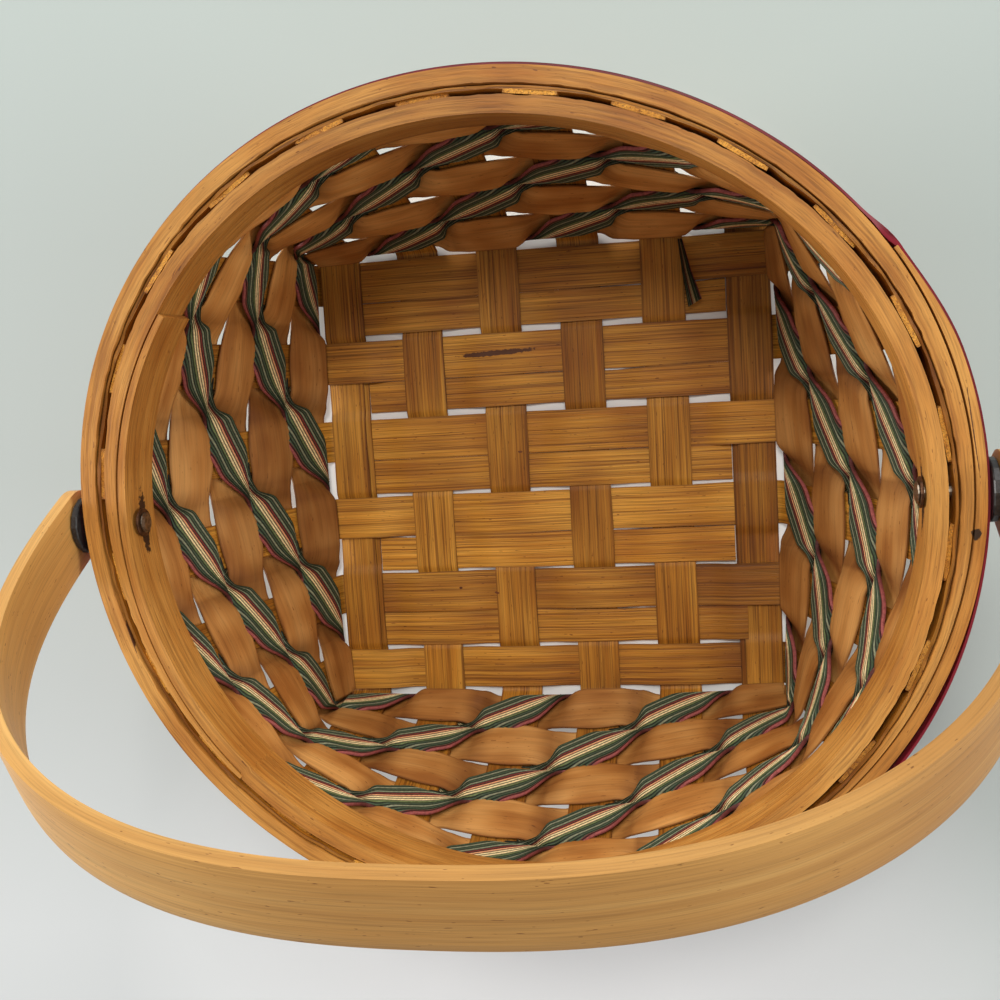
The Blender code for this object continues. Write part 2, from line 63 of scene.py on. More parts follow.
def smooth(share):
    """Ease from 0 to 1."""
    share = np.clip(share, 0, 1)
    return share * share * (3 - 2 * share)


def unit(vectors):
    """Vectors of length 1."""
    return vectors / np.maximum(np.linalg.norm(vectors, axis=-1, keepdims=True), 1e-9)


def vector(x, y, z):
    """Rows of x, y, z."""
    return np.stack(np.broadcast_arrays(x, y, z), axis=-1).astype(float)


def wander(places, step, seed):
    """Slow unevenness from -1 to 1 along a piece, as a hand leaves it."""
    marks = np.random.default_rng(seed).uniform(-1, 1, 512)
    at = np.asarray(places) / step + 40
    low = np.floor(at).astype(int)
    return marks[low % 512] * (1 - smooth(at - low)) + marks[(low + 1) % 512] * smooth(at - low)


def rim_spot(angle, inset, height):
    """Point of the rim at a distance inside the face of the outer hoop."""
    oval = 0.0039 * np.cos(2 * (angle - math.radians(-17.7)))
    egg = 0.0009 * np.cos(3 * (angle - math.radians(23.3)))
    radius = rim_radius + oval + egg - inset
    return vector(radius * np.cos(angle), radius * np.sin(angle), height)


def stake_line(index, height):
    """Middle of an upright, and its direction across, at a height."""
    index = np.asarray(index) % stakes
    side = ((index + 3) // 6) % 4
    outward = vector(np.array([1, 0, -1, 0])[side], np.array([0, 1, 0, -1])[side], 0)
    along = vector(-outward[..., 1], outward[..., 0], 0)
    pitch = np.where(side % 2 == 0, side_pitch, front_pitch)
    place = (index + 3) % 6 - 2.5
    foot = outward * base_half + along * (place * pitch)[..., None] + np.array([0, base_shift, 0])
    angle = (index + 0.5) * 2 * math.pi / stakes
    share = (1 - (1 - np.clip(height / hoop_foot, 0, 1)) ** 1.35)[..., None]
    spot = foot * (1 - share) + rim_spot(angle, stake_inset, 0) * share
    spot[..., 2] = height
    tangent = unit(rim_spot(angle + 0.1, 0, 0) - rim_spot(angle - 0.1, 0, 0))
    return spot, unit(along * (1 - share) + tangent * share)


def feed(tree, kind, feeds, **settings):
    """Add a node to a tree with its settings, and feed its sockets with values or other sockets."""
    node = tree.nodes.new(kind)
    for name, value in settings.items():
        setattr(node, name, value)
    for socket, source in feeds.items():
        if isinstance(source, bpy.types.NodeSocket):
            tree.links.new(source, node.inputs[socket])
        else:
            node.inputs[socket].default_value = source
    return node


def calc(tree, operation, *sources):
    """Result of a sum on numbers."""
    return feed(tree, "ShaderNodeMath", dict(enumerate(sources)), operation=operation).outputs[0]


def vcalc(tree, operation, *sources):
    """Result of a sum on vectors."""
    node = feed(tree, "ShaderNodeVectorMath", dict(enumerate(sources)), operation=operation)
    return node.outputs[0]


def scaled(tree, direction, length):
    """A direction times a length."""
    node = feed(tree, "ShaderNodeVectorMath", {0: direction, "Scale": length}, operation="SCALE")
    return node.outputs[0]


def bent_strip_tree():
    """Tree that lays a closed flat strip through rows of points; each row runs across the strip."""
    tree = bpy.data.node_groups.new("bent_strip", "GeometryNodeTree")
    for name, kind, value in (
            ("Rows", "NodeSocketGeometry", None), ("Across", "NodeSocketInt", 2), ("Cells", "NodeSocketInt", 8),
            ("Edge share", "NodeSocketFloat", 0.8), ("Threads", "NodeSocketFloat", 0.0),
            ("Thread height", "NodeSocketFloat", 0.0), ("Bead height", "NodeSocketFloat", 0.0),
            ("Rib height", "NodeSocketFloat", 0.0), ("Rib width", "NodeSocketFloat", 0.002),
            ("Rib length", "NodeSocketFloat", 0.03), ("Seed", "NodeSocketFloat", 0.0),
            ("Finish", "NodeSocketMaterial", None)):
        socket = tree.interface.new_socket(name=name, in_out="INPUT", socket_type=kind)
        if value is not None:
            socket.default_value = value
    tree.interface.new_socket(name="Strip", in_out="OUTPUT", socket_type="NodeSocketGeometry")
    given = tree.nodes.new("NodeGroupInput").outputs
    rows = given["Rows"]
    across_points = given["Across"]
    cells = given["Cells"]
    points = feed(tree, "GeometryNodeAttributeDomainSize", {"Geometry": rows}).outputs["Point Count"]
    count = calc(tree, "ROUND", calc(tree, "DIVIDE", points, across_points))
    index = tree.nodes.new("GeometryNodeInputIndex").outputs[0]

    def whole_part(number, divisor):
        return calc(tree, "FLOOR", calc(tree, "DIVIDE", calc(tree, "ADD", number, 0.5), divisor))

    def picked(geometry, value, place, kind):
        return feed(tree, "GeometryNodeSampleIndex", {"Geometry": geometry, "Value": value, "Index": place},
                    data_type=kind, domain="POINT").outputs[0]

    def named(name, kind):
        return feed(tree, "GeometryNodeInputNamedAttribute", {"Name": name}, data_type=kind).outputs["Attribute"]

    # middle sheet of the strip
    columns = calc(tree, "ADD", cells, 1.0)
    row = whole_part(index, columns)
    share = calc(tree, "DIVIDE", calc(tree, "SUBTRACT", index, calc(tree, "MULTIPLY", row, columns)), cells)
    along_row = calc(tree, "MULTIPLY", share, calc(tree, "SUBTRACT", across_points, 1.0))
    first = calc(tree, "MINIMUM", calc(tree, "FLOOR", calc(tree, "ADD", along_row, 0.0001)),
                 calc(tree, "SUBTRACT", across_points, 2.0))
    start = calc(tree, "ADD", calc(tree, "MULTIPLY", row, across_points), first)
    place = tree.nodes.new("GeometryNodeInputPosition").outputs[0]
    here = picked(rows, place, start, "FLOAT_VECTOR")
    there = picked(rows, place, calc(tree, "ADD", start, 1.0), "FLOAT_VECTOR")
    step = calc(tree, "SUBTRACT", along_row, first)
    spot = vcalc(tree, "ADD", here, scaled(tree, vcalc(tree, "SUBTRACT", there, here), step))
    sheet = feed(tree, "GeometryNodeMeshGrid", {"Vertices X": count, "Vertices Y": columns}).outputs["Mesh"]
    sheet = feed(tree, "GeometryNodeSetPosition", {"Geometry": sheet, "Position": spot}).outputs[0]

    # closed body round the sheet, with both ends drawn shut
    turn = calc(tree, "MULTIPLY_ADD", cells, 2.0, 2.0)
    wrap = calc(tree, "ADD", turn, 1.0)
    grid = feed(tree, "GeometryNodeMeshGrid", {"Vertices X": calc(tree, "ADD", count, 2.0), "Vertices Y": wrap})
    ring = whole_part(index, wrap)
    column = calc(tree, "SUBTRACT", index, calc(tree, "MULTIPLY", ring, wrap))
    around = calc(tree, "FLOOR", calc(tree, "MODULO", calc(tree, "ADD", column, 0.25), turn))
    front = calc(tree, "LESS_THAN", around, calc(tree, "ADD", cells, 0.5))
    back_column = calc(tree, "SUBTRACT", calc(tree, "SUBTRACT", turn, 1.0), around)
    cell = calc(tree, "ADD", calc(tree, "MULTIPLY", front, around),
                calc(tree, "MULTIPLY", calc(tree, "SUBTRACT", 1.0, front), back_column))
    share = calc(tree, "DIVIDE", cell, cells)
    last = calc(tree, "SUBTRACT", count, 1.0)
    row = calc(tree, "MINIMUM", calc(tree, "MAXIMUM", calc(tree, "SUBTRACT", ring, 1.0), 0.0), last)
    present = calc(tree, "COMPARE", calc(tree, "SUBTRACT", ring, 1.0), row, 0.1)
    at_sheet = calc(tree, "ADD", calc(tree, "MULTIPLY", row, columns), cell)
    at_row = calc(tree, "MULTIPLY", row, across_points)
    middle = picked(sheet, place, at_sheet, "FLOAT_VECTOR")
    facing = picked(sheet, tree.nodes.new("GeometryNodeInputNormal").outputs[0], at_sheet, "FLOAT_VECTOR")
    half = picked(rows, named("half", "FLOAT"), at_row, "FLOAT")
    run = picked(rows, named("run", "FLOAT"), at_row, "FLOAT")
    wide = picked(rows, named("wide", "FLOAT"), at_row, "FLOAT")
    side = calc(tree, "SUBTRACT", calc(tree, "MULTIPLY", share, 2.0), 1.0)
    edge = calc(tree, "POWER", calc(tree, "ABSOLUTE", side), 5.0)
    fullness = calc(tree, "SUBTRACT", 1.0, calc(tree, "MULTIPLY", edge, calc(tree, "SUBTRACT", 1.0, given["Edge share"])))
    wave = calc(tree, "ABSOLUTE", calc(tree, "SINE", calc(tree, "MULTIPLY", calc(tree, "MULTIPLY", share, math.pi), given["Threads"])))
    thread = calc(tree, "MULTIPLY", calc(tree, "POWER", wave, 0.7), given["Thread height"])
    bead_place = calc(tree, "DIVIDE", calc(tree, "SUBTRACT", share, 0.94), 0.045)
    bead = calc(tree, "EXPONENT", calc(tree, "MULTIPLY", calc(tree, "POWER", calc(tree, "ABSOLUTE", bead_place), 2.0), -1.0))
    bead = calc(tree, "MULTIPLY", bead, given["Bead height"])
    across = calc(tree, "MULTIPLY", side, calc(tree, "MULTIPLY", wide, 0.5))
    rib_spot = feed(tree, "ShaderNodeCombineXYZ", {
        0: calc(tree, "DIVIDE", run, given["Rib length"]), 1: calc(tree, "DIVIDE", across, given["Rib width"]),
        2: calc(tree, "ADD", given["Seed"], front)}).outputs[0]
    rib = feed(tree, "ShaderNodeTexNoise", {"Vector": rib_spot, "Scale": 1.0, "Detail": 1.5}).outputs[0]
    rib = calc(tree, "MULTIPLY", calc(tree, "SUBTRACT", rib, 0.5), given["Rib height"])
    depth = calc(tree, "ADD", calc(tree, "MULTIPLY", half, fullness), calc(tree, "ADD", calc(tree, "ADD", thread, bead), rib))
    way = calc(tree, "SUBTRACT", calc(tree, "MULTIPLY", front, 2.0), 1.0)
    offset = calc(tree, "MULTIPLY", calc(tree, "MULTIPLY", way, depth), present)
    spot = vcalc(tree, "ADD", middle, scaled(tree, facing, offset))
    marks = feed(tree, "ShaderNodeCombineXYZ", {0: run, 1: across, 2: offset}).outputs[0]
    kept = feed(tree, "GeometryNodeStoreNamedAttribute", {
        "Geometry": grid.outputs["Mesh"], "Name": "lay", "Value": marks},
        data_type="FLOAT_VECTOR", domain="POINT").outputs[0]
    kept = feed(tree, "GeometryNodeStoreNamedAttribute", {
        "Geometry": kept, "Name": "share", "Value": share}, data_type="FLOAT", domain="POINT").outputs[0]
    tone = picked(rows, named("shade", "FLOAT"), at_row, "FLOAT")
    kept = feed(tree, "GeometryNodeStoreNamedAttribute", {
        "Geometry": kept, "Name": "shade", "Value": tone}, data_type="FLOAT", domain="POINT").outputs[0]
    kept = feed(tree, "GeometryNodeSetPosition", {"Geometry": kept, "Position": spot}).outputs[0]
    kept = feed(tree, "GeometryNodeStoreNamedAttribute", {
        "Geometry": kept, "Name": "UVMap", "Value": named("lay", "FLOAT_VECTOR")},
        data_type="FLOAT2", domain="CORNER").outputs[0]
    merged = feed(tree, "GeometryNodeMergeByDistance", {"Geometry": kept, "Distance": 0.000004}).outputs[0]
    smooth_faces = feed(tree, "GeometryNodeSetShadeSmooth", {"Geometry": merged, "Shade Smooth": True},
                        domain="FACE").outputs[0]
    angle = tree.nodes.new("GeometryNodeInputMeshEdgeAngle").outputs["Unsigned Angle"]
    crisp = calc(tree, "GREATER_THAN", angle, math.radians(48))
    edged = feed(tree, "GeometryNodeSetShadeSmooth", {
        "Geometry": smooth_faces, "Selection": crisp, "Shade Smooth": False}, domain="EDGE").outputs[0]
    real = feed(tree, "GeometryNodeRealizeInstances", {"Geometry": edged}).outputs[0]
    finished = feed(tree, "GeometryNodeSetMaterial", {"Geometry": real, "Material": given["Finish"]}).outputs[0]
    out = tree.nodes.new("NodeGroupOutput")
    tree.links.new(finished, out.inputs[0])
    return tree


strip_tree = bent_strip_tree()
strip_inputs = {item.name: item.identifier for item in strip_tree.interface.items_tree
                if item.in_out == "INPUT"}


def lay_strip(name, lower, upper, half, finish, sizes, between=None, shade=0.5):
    """Lay a strip from its lower to its upper edge points, and give its plain mesh object.

    shade is how light its wood is painted, for the whole piece or for each row of points: its own tone, and in places
    painted light and shade.
    """
    rows = np.stack([lower, *(between or []), upper], axis=1)
    across_points = rows.shape[1]
    middle = rows[:, across_points // 2] if across_points % 2 else (lower + upper) / 2
    run = np.concatenate([[0], np.cumsum(np.linalg.norm(np.diff(middle, axis=0), axis=1))])
    wide = np.sum(np.linalg.norm(np.diff(rows, axis=1), axis=2), axis=1)
    source = bpy.data.meshes.new(name)
    source.from_pydata(rows.reshape(-1, 3).tolist(), [], [])
    for key, values in (("half", np.broadcast_to(half, len(rows))), ("run", run + sizes.get("Seed", 0) * 0.37),
                        ("wide", wide), ("shade", np.broadcast_to(shade, len(rows)))):
        values = np.repeat(values, across_points).astype(np.float32)
        source.attributes.new(key, "FLOAT", "POINT").data.foreach_set("value", values)
    stations = bpy.data.objects.new(name + "_rows", source)
    bpy.context.scene.collection.objects.link(stations)
    layer = stations.modifiers.new("strip", "NODES")
    layer.node_group = strip_tree
    for key, value in {"Across": across_points, **sizes}.items():
        layer[strip_inputs[key]] = value
    layer[strip_inputs["Finish"]] = finish
    ready = bpy.context.evaluated_depsgraph_get()
    mesh = bpy.data.meshes.new_from_object(stations.evaluated_get(ready), depsgraph=ready)
    bpy.data.objects.remove(stations)
    mesh.name = name
    piece = bpy.data.objects.new(name, mesh)
    bpy.context.scene.collection.objects.link(piece)
    return piece


def grain_group():
    """Shared wood grain along a strip: slow tone, streaks and fine fibres from its lay."""
    tree = bpy.data.node_groups.new("wood_grain", "ShaderNodeTree")
    tree.interface.new_socket(name="Lay", in_out="INPUT", socket_type="NodeSocketVector")
    for name, value in (("Fibre width", 0.0005), ("Fibre length", 0.02), ("Streak width", 0.003),
                        ("Streak length", 0.08), ("Line width", 0.0011), ("Line length", 0.12), ("Tone size", 0.05),
                        ("Waver", 0.0006), ("Seed", 0.0)):
        tree.interface.new_socket(name=name, in_out="INPUT", socket_type="NodeSocketFloat").default_value = value
    for name in ("Fibre", "Streak", "Line", "Fleck", "Tone"):
        tree.interface.new_socket(name=name, in_out="OUTPUT", socket_type="NodeSocketFloat")
    given = tree.nodes.new("NodeGroupInput").outputs
    parts = feed(tree, "ShaderNodeSeparateXYZ", {0: given["Lay"]}).outputs
    bend = feed(tree, "ShaderNodeTexNoise", {"Vector": scaled(tree, given["Lay"], 30.0), "Scale": 1.0, "Detail": 1.0}).outputs[0]
    drift = calc(tree, "MULTIPLY", calc(tree, "SUBTRACT", bend, 0.5), given["Waver"])
    across = calc(tree, "ADD", parts[1], drift)

    def grains(length, width, detail, seed):
        spot = feed(tree, "ShaderNodeCombineXYZ", {
            0: calc(tree, "DIVIDE", parts[0], length), 1: calc(tree, "DIVIDE", across, width),
            2: calc(tree, "ADD", calc(tree, "DIVIDE", parts[2], width), calc(tree, "ADD", given["Seed"], seed))}).outputs[0]
        return feed(tree, "ShaderNodeTexNoise", {"Vector": spot, "Scale": 1.0, "Detail": detail, "Roughness": 0.6}).outputs[0]

    out = tree.nodes.new("NodeGroupOutput")
    tree.links.new(grains(given["Fibre length"], given["Fibre width"], 2.0, 3.1), out.inputs["Fibre"])
    tree.links.new(grains(given["Streak length"], given["Streak width"], 2.5, 7.7), out.inputs["Streak"])
    tree.links.new(grains(given["Line length"], given["Line width"], 1.0, 23.9), out.inputs["Line"])
    tree.links.new(grains(0.0035, 0.0007, 1.0, 41.3), out.inputs["Fleck"])
    tree.links.new(grains(given["Tone size"], given["Tone size"], 1.0, 12.3), out.inputs["Tone"])
    return tree


wood_grain = grain_group()


def ramp(tree, factor, stops, interpolation="LINEAR"):
    """Colour ramp through stops of (place, colour)."""
    node = feed(tree, "ShaderNodeValToRGB", {0: factor})
    band = node.color_ramp
    band.interpolation = interpolation
    while len(band.elements) < len(stops):
        band.elements.new(1.0)
    for element, (place, colour) in zip(band.elements, stops):
        element.position = place
        element.color = (*colour, 1)
    return node.outputs["Color"]


def blended(tree, kind, share, first, second):
    """Two colours blended."""
    node = tree.nodes.new("ShaderNodeMix")
    node.data_type = "RGBA"
    node.blend_type = kind
    for socket, source in (("Factor_Float", share), ("A_Color", first), ("B_Color", second)):
        target = next(item for item in node.inputs if item.identifier == socket)
        if isinstance(source, bpy.types.NodeSocket):
            tree.links.new(source, target)
        else:
            target.default_value = source if socket == "Factor_Float" else (*source, 1)
    return next(item for item in node.outputs if item.identifier == "Result_Color")


def wood_finish(name, light, mid, dark, grain, fibre_bump, gloss, fibre_contrast=0.5, line_contrast=0.5,
                edge_shade=0.6, marks=()):
    """Wood with streaks, growth lines and fibres along its lay, with painted shade along its edges."""
    material = bpy.data.materials.new(name)
    material.use_nodes = True
    tree = material.node_tree
    shader = tree.nodes["Principled BSDF"]
    group = feed(tree, "ShaderNodeGroup", {}, node_tree=wood_grain)
    tree.links.new(feed(tree, "ShaderNodeAttribute", {}, attribute_name="lay").outputs["Vector"], group.inputs["Lay"])
    for key, value in grain.items():
        group.inputs[key].default_value = value
    mixed = calc(tree, "ADD", calc(tree, "MULTIPLY", group.outputs["Streak"], 0.5),
                 calc(tree, "MULTIPLY", group.outputs["Tone"], 0.5))
    colour = ramp(tree, mixed, ((0.36, dark), (0.5, mid), (0.63, light)))
    fibre = ramp(tree, group.outputs["Fibre"], ((0.3, (0.45,) * 3), (0.5, (0.92,) * 3), (0.7, (1.12,) * 3)))
    colour = blended(tree, "MULTIPLY", fibre_contrast, colour, fibre)
    line = ramp(tree, group.outputs["Line"], ((0.33, (0.34, 0.24, 0.15)), (0.45, (0.95,) * 3), (0.6, (1.12,) * 3)))
    colour = blended(tree, "MULTIPLY", line_contrast, colour, line)
    fleck = ramp(tree, group.outputs["Fleck"], ((0.72, (1.0,) * 3), (0.76, (0.35, 0.25, 0.2))))
    colour = blended(tree, "MULTIPLY", 0.8, colour, fleck)
    # The shade attribute tints the wood: each piece's own tone, and painted light and shade where a piece carries it.
    shade = feed(tree, "ShaderNodeAttribute", {}, attribute_name="shade").outputs["Fac"]
    tint = ramp(tree, shade, ((0.0, (0.52, 0.44, 0.36)), (0.5, (1.0,) * 3), (1.0, (1.25, 1.28, 1.3))))
    colour = blended(tree, "MULTIPLY", 1.0, colour, tint)
    # Painted shade: each piece is darker along its edges, where it meets its neighbours.
    share = feed(tree, "ShaderNodeAttribute", {}, attribute_name="share").outputs["Fac"]
    rim = calc(tree, "ABSOLUTE", calc(tree, "MULTIPLY_ADD", share, 2.0, -1.0))
    edge = ramp(tree, rim, ((0.9, (1.0,) * 3), (1.0, (0.42, 0.34, 0.28))))
    colour = blended(tree, "MULTIPLY", edge_shade, colour, edge)
    spot = tree.nodes.new("ShaderNodeTexCoord").outputs["Object"]
    for (x, y, z), turn, (length, width, height), tone in marks:
        place = vcalc(tree, "SUBTRACT", spot, (x, y, z))
        place = feed(tree, "ShaderNodeVectorRotate", {"Vector": place, "Angle": -math.radians(turn)}).outputs[0]
        rough = feed(tree, "ShaderNodeTexNoise", {"Vector": spot, "Scale": 700.0, "Detail": 2.0}).outputs[0]
        far = feed(tree, "ShaderNodeVectorMath", {0: vcalc(tree, "DIVIDE", place, (length, width, height))},
                   operation="LENGTH").outputs["Value"]
        far = calc(tree, "ADD", far, calc(tree, "MULTIPLY", calc(tree, "SUBTRACT", rough, 0.5), 0.9))
        inside = ramp(tree, far, ((0.85, (1.0,) * 3), (1.05, (0.0,) * 3)))
        colour = blended(tree, "MIX", inside, colour, tone)
    tree.links.new(colour, shader.inputs["Base Color"])
    shader.inputs["Roughness"].default_value = gloss
    shader.inputs["Specular IOR Level"].default_value = 0.35
    height = calc(tree, "ADD", group.outputs["Fibre"], calc(tree, "MULTIPLY", group.outputs["Line"], 0.9))
    bump = feed(tree, "ShaderNodeBump", {"Strength": 0.6, "Distance": fibre_bump, "Height": height})
    tree.links.new(bump.outputs[0], shader.inputs["Normal"])
    return material


splint_finish = wood_finish(
    "base_splint_wood", (0.77, 0.365, 0.048), (0.60, 0.250, 0.024), (0.40, 0.136, 0.009),
    {"Fibre width": 0.00032, "Fibre length": 0.03, "Streak width": 0.0024, "Streak length": 0.12,
     "Line width": 0.00070, "Line length": 0.08, "Tone size": 0.04, "Waver": 0.0003}, 0.0003, 0.55, 0.8, 0.65, 0.75,
    marks=(((-0.0193, 0.0545, 0.001), 2, (0.0185, 0.0013, 0.003), (0.10, 0.032, 0.008)),
           ((-0.0424, -0.0483, 0.001), 20, (0.0008, 0.0006, 0.003), (0.12, 0.03, 0.008)),
           ((-0.0262, -0.0510, 0.001), 0, (0.0013, 0.0006, 0.003), (0.16, 0.04, 0.010)),
           ((-0.0120, 0.0111, 0.001), 0, (0.0012, 0.0006, 0.003), (0.17, 0.05, 0.012))))
splint_sizes = {"Cells": 12, "Edge share": 0.8, "Rib height": 0.00032, "Rib width": 0.0016, "Rib length": 0.03}


def over(column, row):
    """True where a front-to-back splint passes over a side-to-side one."""
    return (column + row) % 2 == 0


def side_level(row, column):
    """Level of a side-to-side splint in a column; a cover splint takes one more at both edges."""
    if over(column, row):
        return 0
    return 2 if column in (0, 5) else 1


def column_place(column):
    return (column - 2.5) * front_pitch


def row_place(row):
    return base_shift + (2.5 - row) * side_pitch


def weave_heights(spots, spans, ramp_length):
    """Height of a splint's middle at spots along it, over spans of (start, end, level)."""
    heights = np.full(len(spots), splint_half + spans[0][2] * layer_step)
    for here, there in zip(spans, spans[1:]):
        room = there[0] - here[1]
        reach = min(ramp_length, room)
        climbs = there[2] > here[2]
        start = there[0] - reach if climbs else here[1]
        if room < ramp_length:
            start = here[1]
        share = smooth((spots - start) / reach)
        heights += (there[2] - here[2]) * layer_step * share
    return heights


def painted_corner_shade(middle):
    """How much darker the base is painted towards its front right corner: painted shade cast by the walls at that
    corner.
    """
    return 0.34 * smooth((middle[:, 0] - 0.045) / 0.04) * smooth((-middle[:, 1] - 0.01) / 0.04)


def stake_strip(name, base_middle, across, first_leg, last_leg, seed, shade):
    """One long splint: up the wall, across the base and up the other wall."""
    crease = 0.0022
    legs = []
    for index, end in ((first_leg, 0), (last_leg, -1)):
        start = base_middle[end]
        heights = np.concatenate([np.linspace(start[2] + 0.0016, 0.01, 5), np.linspace(0.013, rim_top - 0.0015 + 0.0012 * wander(index, 1.0, 7), 44)])
        spot, side = stake_line(np.full(len(heights), index), heights)
        side = side * np.sign(np.sum(side * across, axis=1, keepdims=True))
        legs.append((spot, side))
    corners = []
    for (spot, side), end in zip(legs, (0, -1)):
        corner, _ = stake_line(np.array([first_leg if end == 0 else last_leg]), np.array([base_middle[end][2]]))
        inner = base_middle[end]
        turn = np.linspace(0.15, 0.85, 5)[:, None]
        bend = inner * (1 - turn) ** 2 + corner[0] * 2 * turn * (1 - turn) + spot[0] * turn ** 2
        corners.append((bend, np.broadcast_to(side[0], bend.shape)))
    middle = np.concatenate([legs[0][0][::-1], corners[0][0][::-1], base_middle, corners[1][0], legs[1][0]])
    base_side = np.broadcast_to(across, base_middle.shape)
    side = np.concatenate([legs[0][1][::-1], corners[0][1][::-1], base_side, corners[1][1], legs[1][1]])
    run = np.concatenate([[0], np.cumsum(np.linalg.norm(np.diff(middle, axis=0), axis=1))])
    width = stake_half_width + 0.00018 * wander(run, 0.02, seed)
    middle = middle + side * (0.00012 * wander(run, 0.05, seed + 60))[:, None]
    lower = middle - side * width[:, None]
    upper = middle + side * width[:, None]
    end = smooth((middle[:, 2] - rim_top + 0.005) / 0.003)
    # Painted shade: the uprights are darker up the wall, where the wall strands and ribbons shade them, and towards the
    # front right corner of the base.
    shade = shade - 0.26 * smooth((middle[:, 2] - 0.003) / 0.012) - painted_corner_shade(middle) + (0.8 - shade) * end
    return lay_strip(name, lower, upper, splint_half + 0.00035 * end, splint_finish, {**splint_sizes, "Seed": float(seed)}, shade=shade)


def finish_piece(piece, body, slot, *nodes):
    """Hang a piece on its body and hide the CAD nodes it stands for."""
    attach(piece, body)
    if nodes:
        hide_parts(*nodes)


base_end = base_half - 0.0022
side_shades = (0.34, 0.44, 0.58, 0.66, 0.30, 0.38)
front_shades = (0.30, 0.40, 0.30, 0.24, 0.36, 0.14)
filler_shades = (0.38, 0.46, 0.50, 0.72, 0.40)
for row in range(6):
    spans = [(column_place(c) - 0.009, column_place(c) + 0.009, side_level(row, c)) for c in range(6)]
    spots = np.linspace(-base_end, base_end, 131)
    middle = vector(spots, row_place(row), weave_heights(spots, spans, 0.012))
    piece = stake_strip(f"side_splint_{row + 1}", middle, np.array([0.0, -1.0, 0.0]), 9 + row, (2 - row) % 24, 11 + row,
                        side_shades[row])
    finish_piece(piece, "basket", "base_splint", f"side_stake_{row + 1}")


def row_spans(column, levels):
    """Spans of a front-to-back splint over the rows, from front to back."""
    spans = []
    for row in reversed(range(6)):
        low = row_place(row) - 0.009
        if row_has_filler(row, column):
            low -= 0.014
        spans.append((low, row_place(row) + 0.009, levels(column, row)))
    return spans


def row_has_filler(row, column):
    """True where the filler beside a side-to-side splint reaches a column."""
    if row == 5:
        return False
    if column == 0:
        return row % 2 == 0
    if column == 5:
        return row % 2 == 1 and row != 3
    return True


def front_level(column, row):
    return 1 if over(column, row) else 0


for column in range(6):
    spots = np.linspace(-base_end + base_shift, base_end + base_shift, 161)
    heights = weave_heights(spots, row_spans(column, front_level), 0.0045)
    middle = vector(column_place(column), spots, heights)
    piece = stake_strip(f"front_splint_{column + 1}", middle, np.array([1.0, 0.0, 0.0]), 15 + column, 8 - column, 31 + column,
                        front_shades[column])
    finish_piece(piece, "basket", "base_splint", f"front_stake_{column + 1}")

# Filler splints. Five short splints of the same ash lie beside the side-to-side
# splints and close the gaps between them; they end at the edge of the base.
filler_widths = (0.0139, 0.0134, 0.0150, 0.0153, 0.0149)
for row in range(5):
    width = filler_widths[row]
    first = 0 if row_has_filler(row, 0) else 1
    last = 5 if row_has_filler(row, 5) else 4
    spans = [(column_place(c) - 0.009, column_place(c) + 0.009, side_level(row, c)) for c in range(first, last + 1)]
    reach = front_pitch - 0.018 - 0.0003
    if row == 4:
        spans.append((column_place(5) - 0.0086, column_place(5) - 0.0052, 2))
    start = spans[0][0] - (reach if first == 1 else 0)
    end = spans[-1][1] + (reach if last == 4 and row != 4 else 0)
    spots = np.linspace(start, end, 161)
    heights = weave_heights(spots, spans, 0.012)
    opening = 0.0001 + 0.0007 * np.clip(wander(spots, 0.03, 51 + row), 0, 1) ** 2
    upper_edge = row_place(row) - 0.009 - opening
    lower_edge = row_place(row) - 0.009 - width + 0.00025 * wander(spots, 0.03, 151 + row)
    lower, upper = vector(spots, upper_edge, heights), vector(spots, lower_edge, heights)
    piece = lay_strip(f"filler_{row + 1}", lower, upper, splint_half, splint_finish,
                      {**splint_sizes, "Seed": 51.0 + row}, shade=filler_shades[row] - painted_corner_shade(lower))
    finish_piece(piece, "basket", "base_splint", f"filler_splint_{row + 1}")

# Cover splints. A narrower ash splint is woven in over the first and the last
# front-to-back splint, so that the edges of the base show a doubled strip.
cover_width = 0.0155
for name, column in (("left", 0), ("right", 5)):
    spans = row_spans(column, lambda c, r: front_level(c, r) + 1)
    spots = np.linspace(spans[0][0], spans[-1][1], 151)
    heights = weave_heights(spots, spans, 0.0045)
    place = column_place(column) + math.copysign(0.0009, column_place(column))
    middle = vector(place, spots, heights)
    half_width = (cover_width / 2 + 0.00015 * wander(spots, 0.02, 71 + column))[:, None]
    side = np.array([[1.0, 0.0, 0.0]])
    piece = lay_strip(f"cover_{name}", middle - side * half_width, middle + side * half_width, splint_half,
                      splint_finish, {**splint_sizes, "Seed": 71.0 + column}, shade=0.36 if column == 0 else 0.16)
    finish_piece(piece, "basket", "base_splint", f"edge_cover_{name}")

# Wall splints. In each of the five rows a thin wood strand is twined in and out
# of the uprights; it is 18 mm broad and passes inside the winding of the
# ribbon between two uprights, so that it shows as a leaf.
row_pitch = 0.0194
first_row = 0.0129
flat_share = 0.25
leaf_finish = wood_finish(
    "wall_leaf_wood", (0.63, 0.312, 0.089), (0.50, 0.216, 0.050), (0.35, 0.125, 0.022),
    {"Fibre width": 0.0007, "Fibre length": 0.03, "Streak width": 0.008, "Streak length": 0.04,
     "Line width": 0.0030, "Line length": 0.07, "Tone size": 0.024, "Waver": 0.0005}, 0.00012, 0.62, 0.35, 0.14, 0.75)


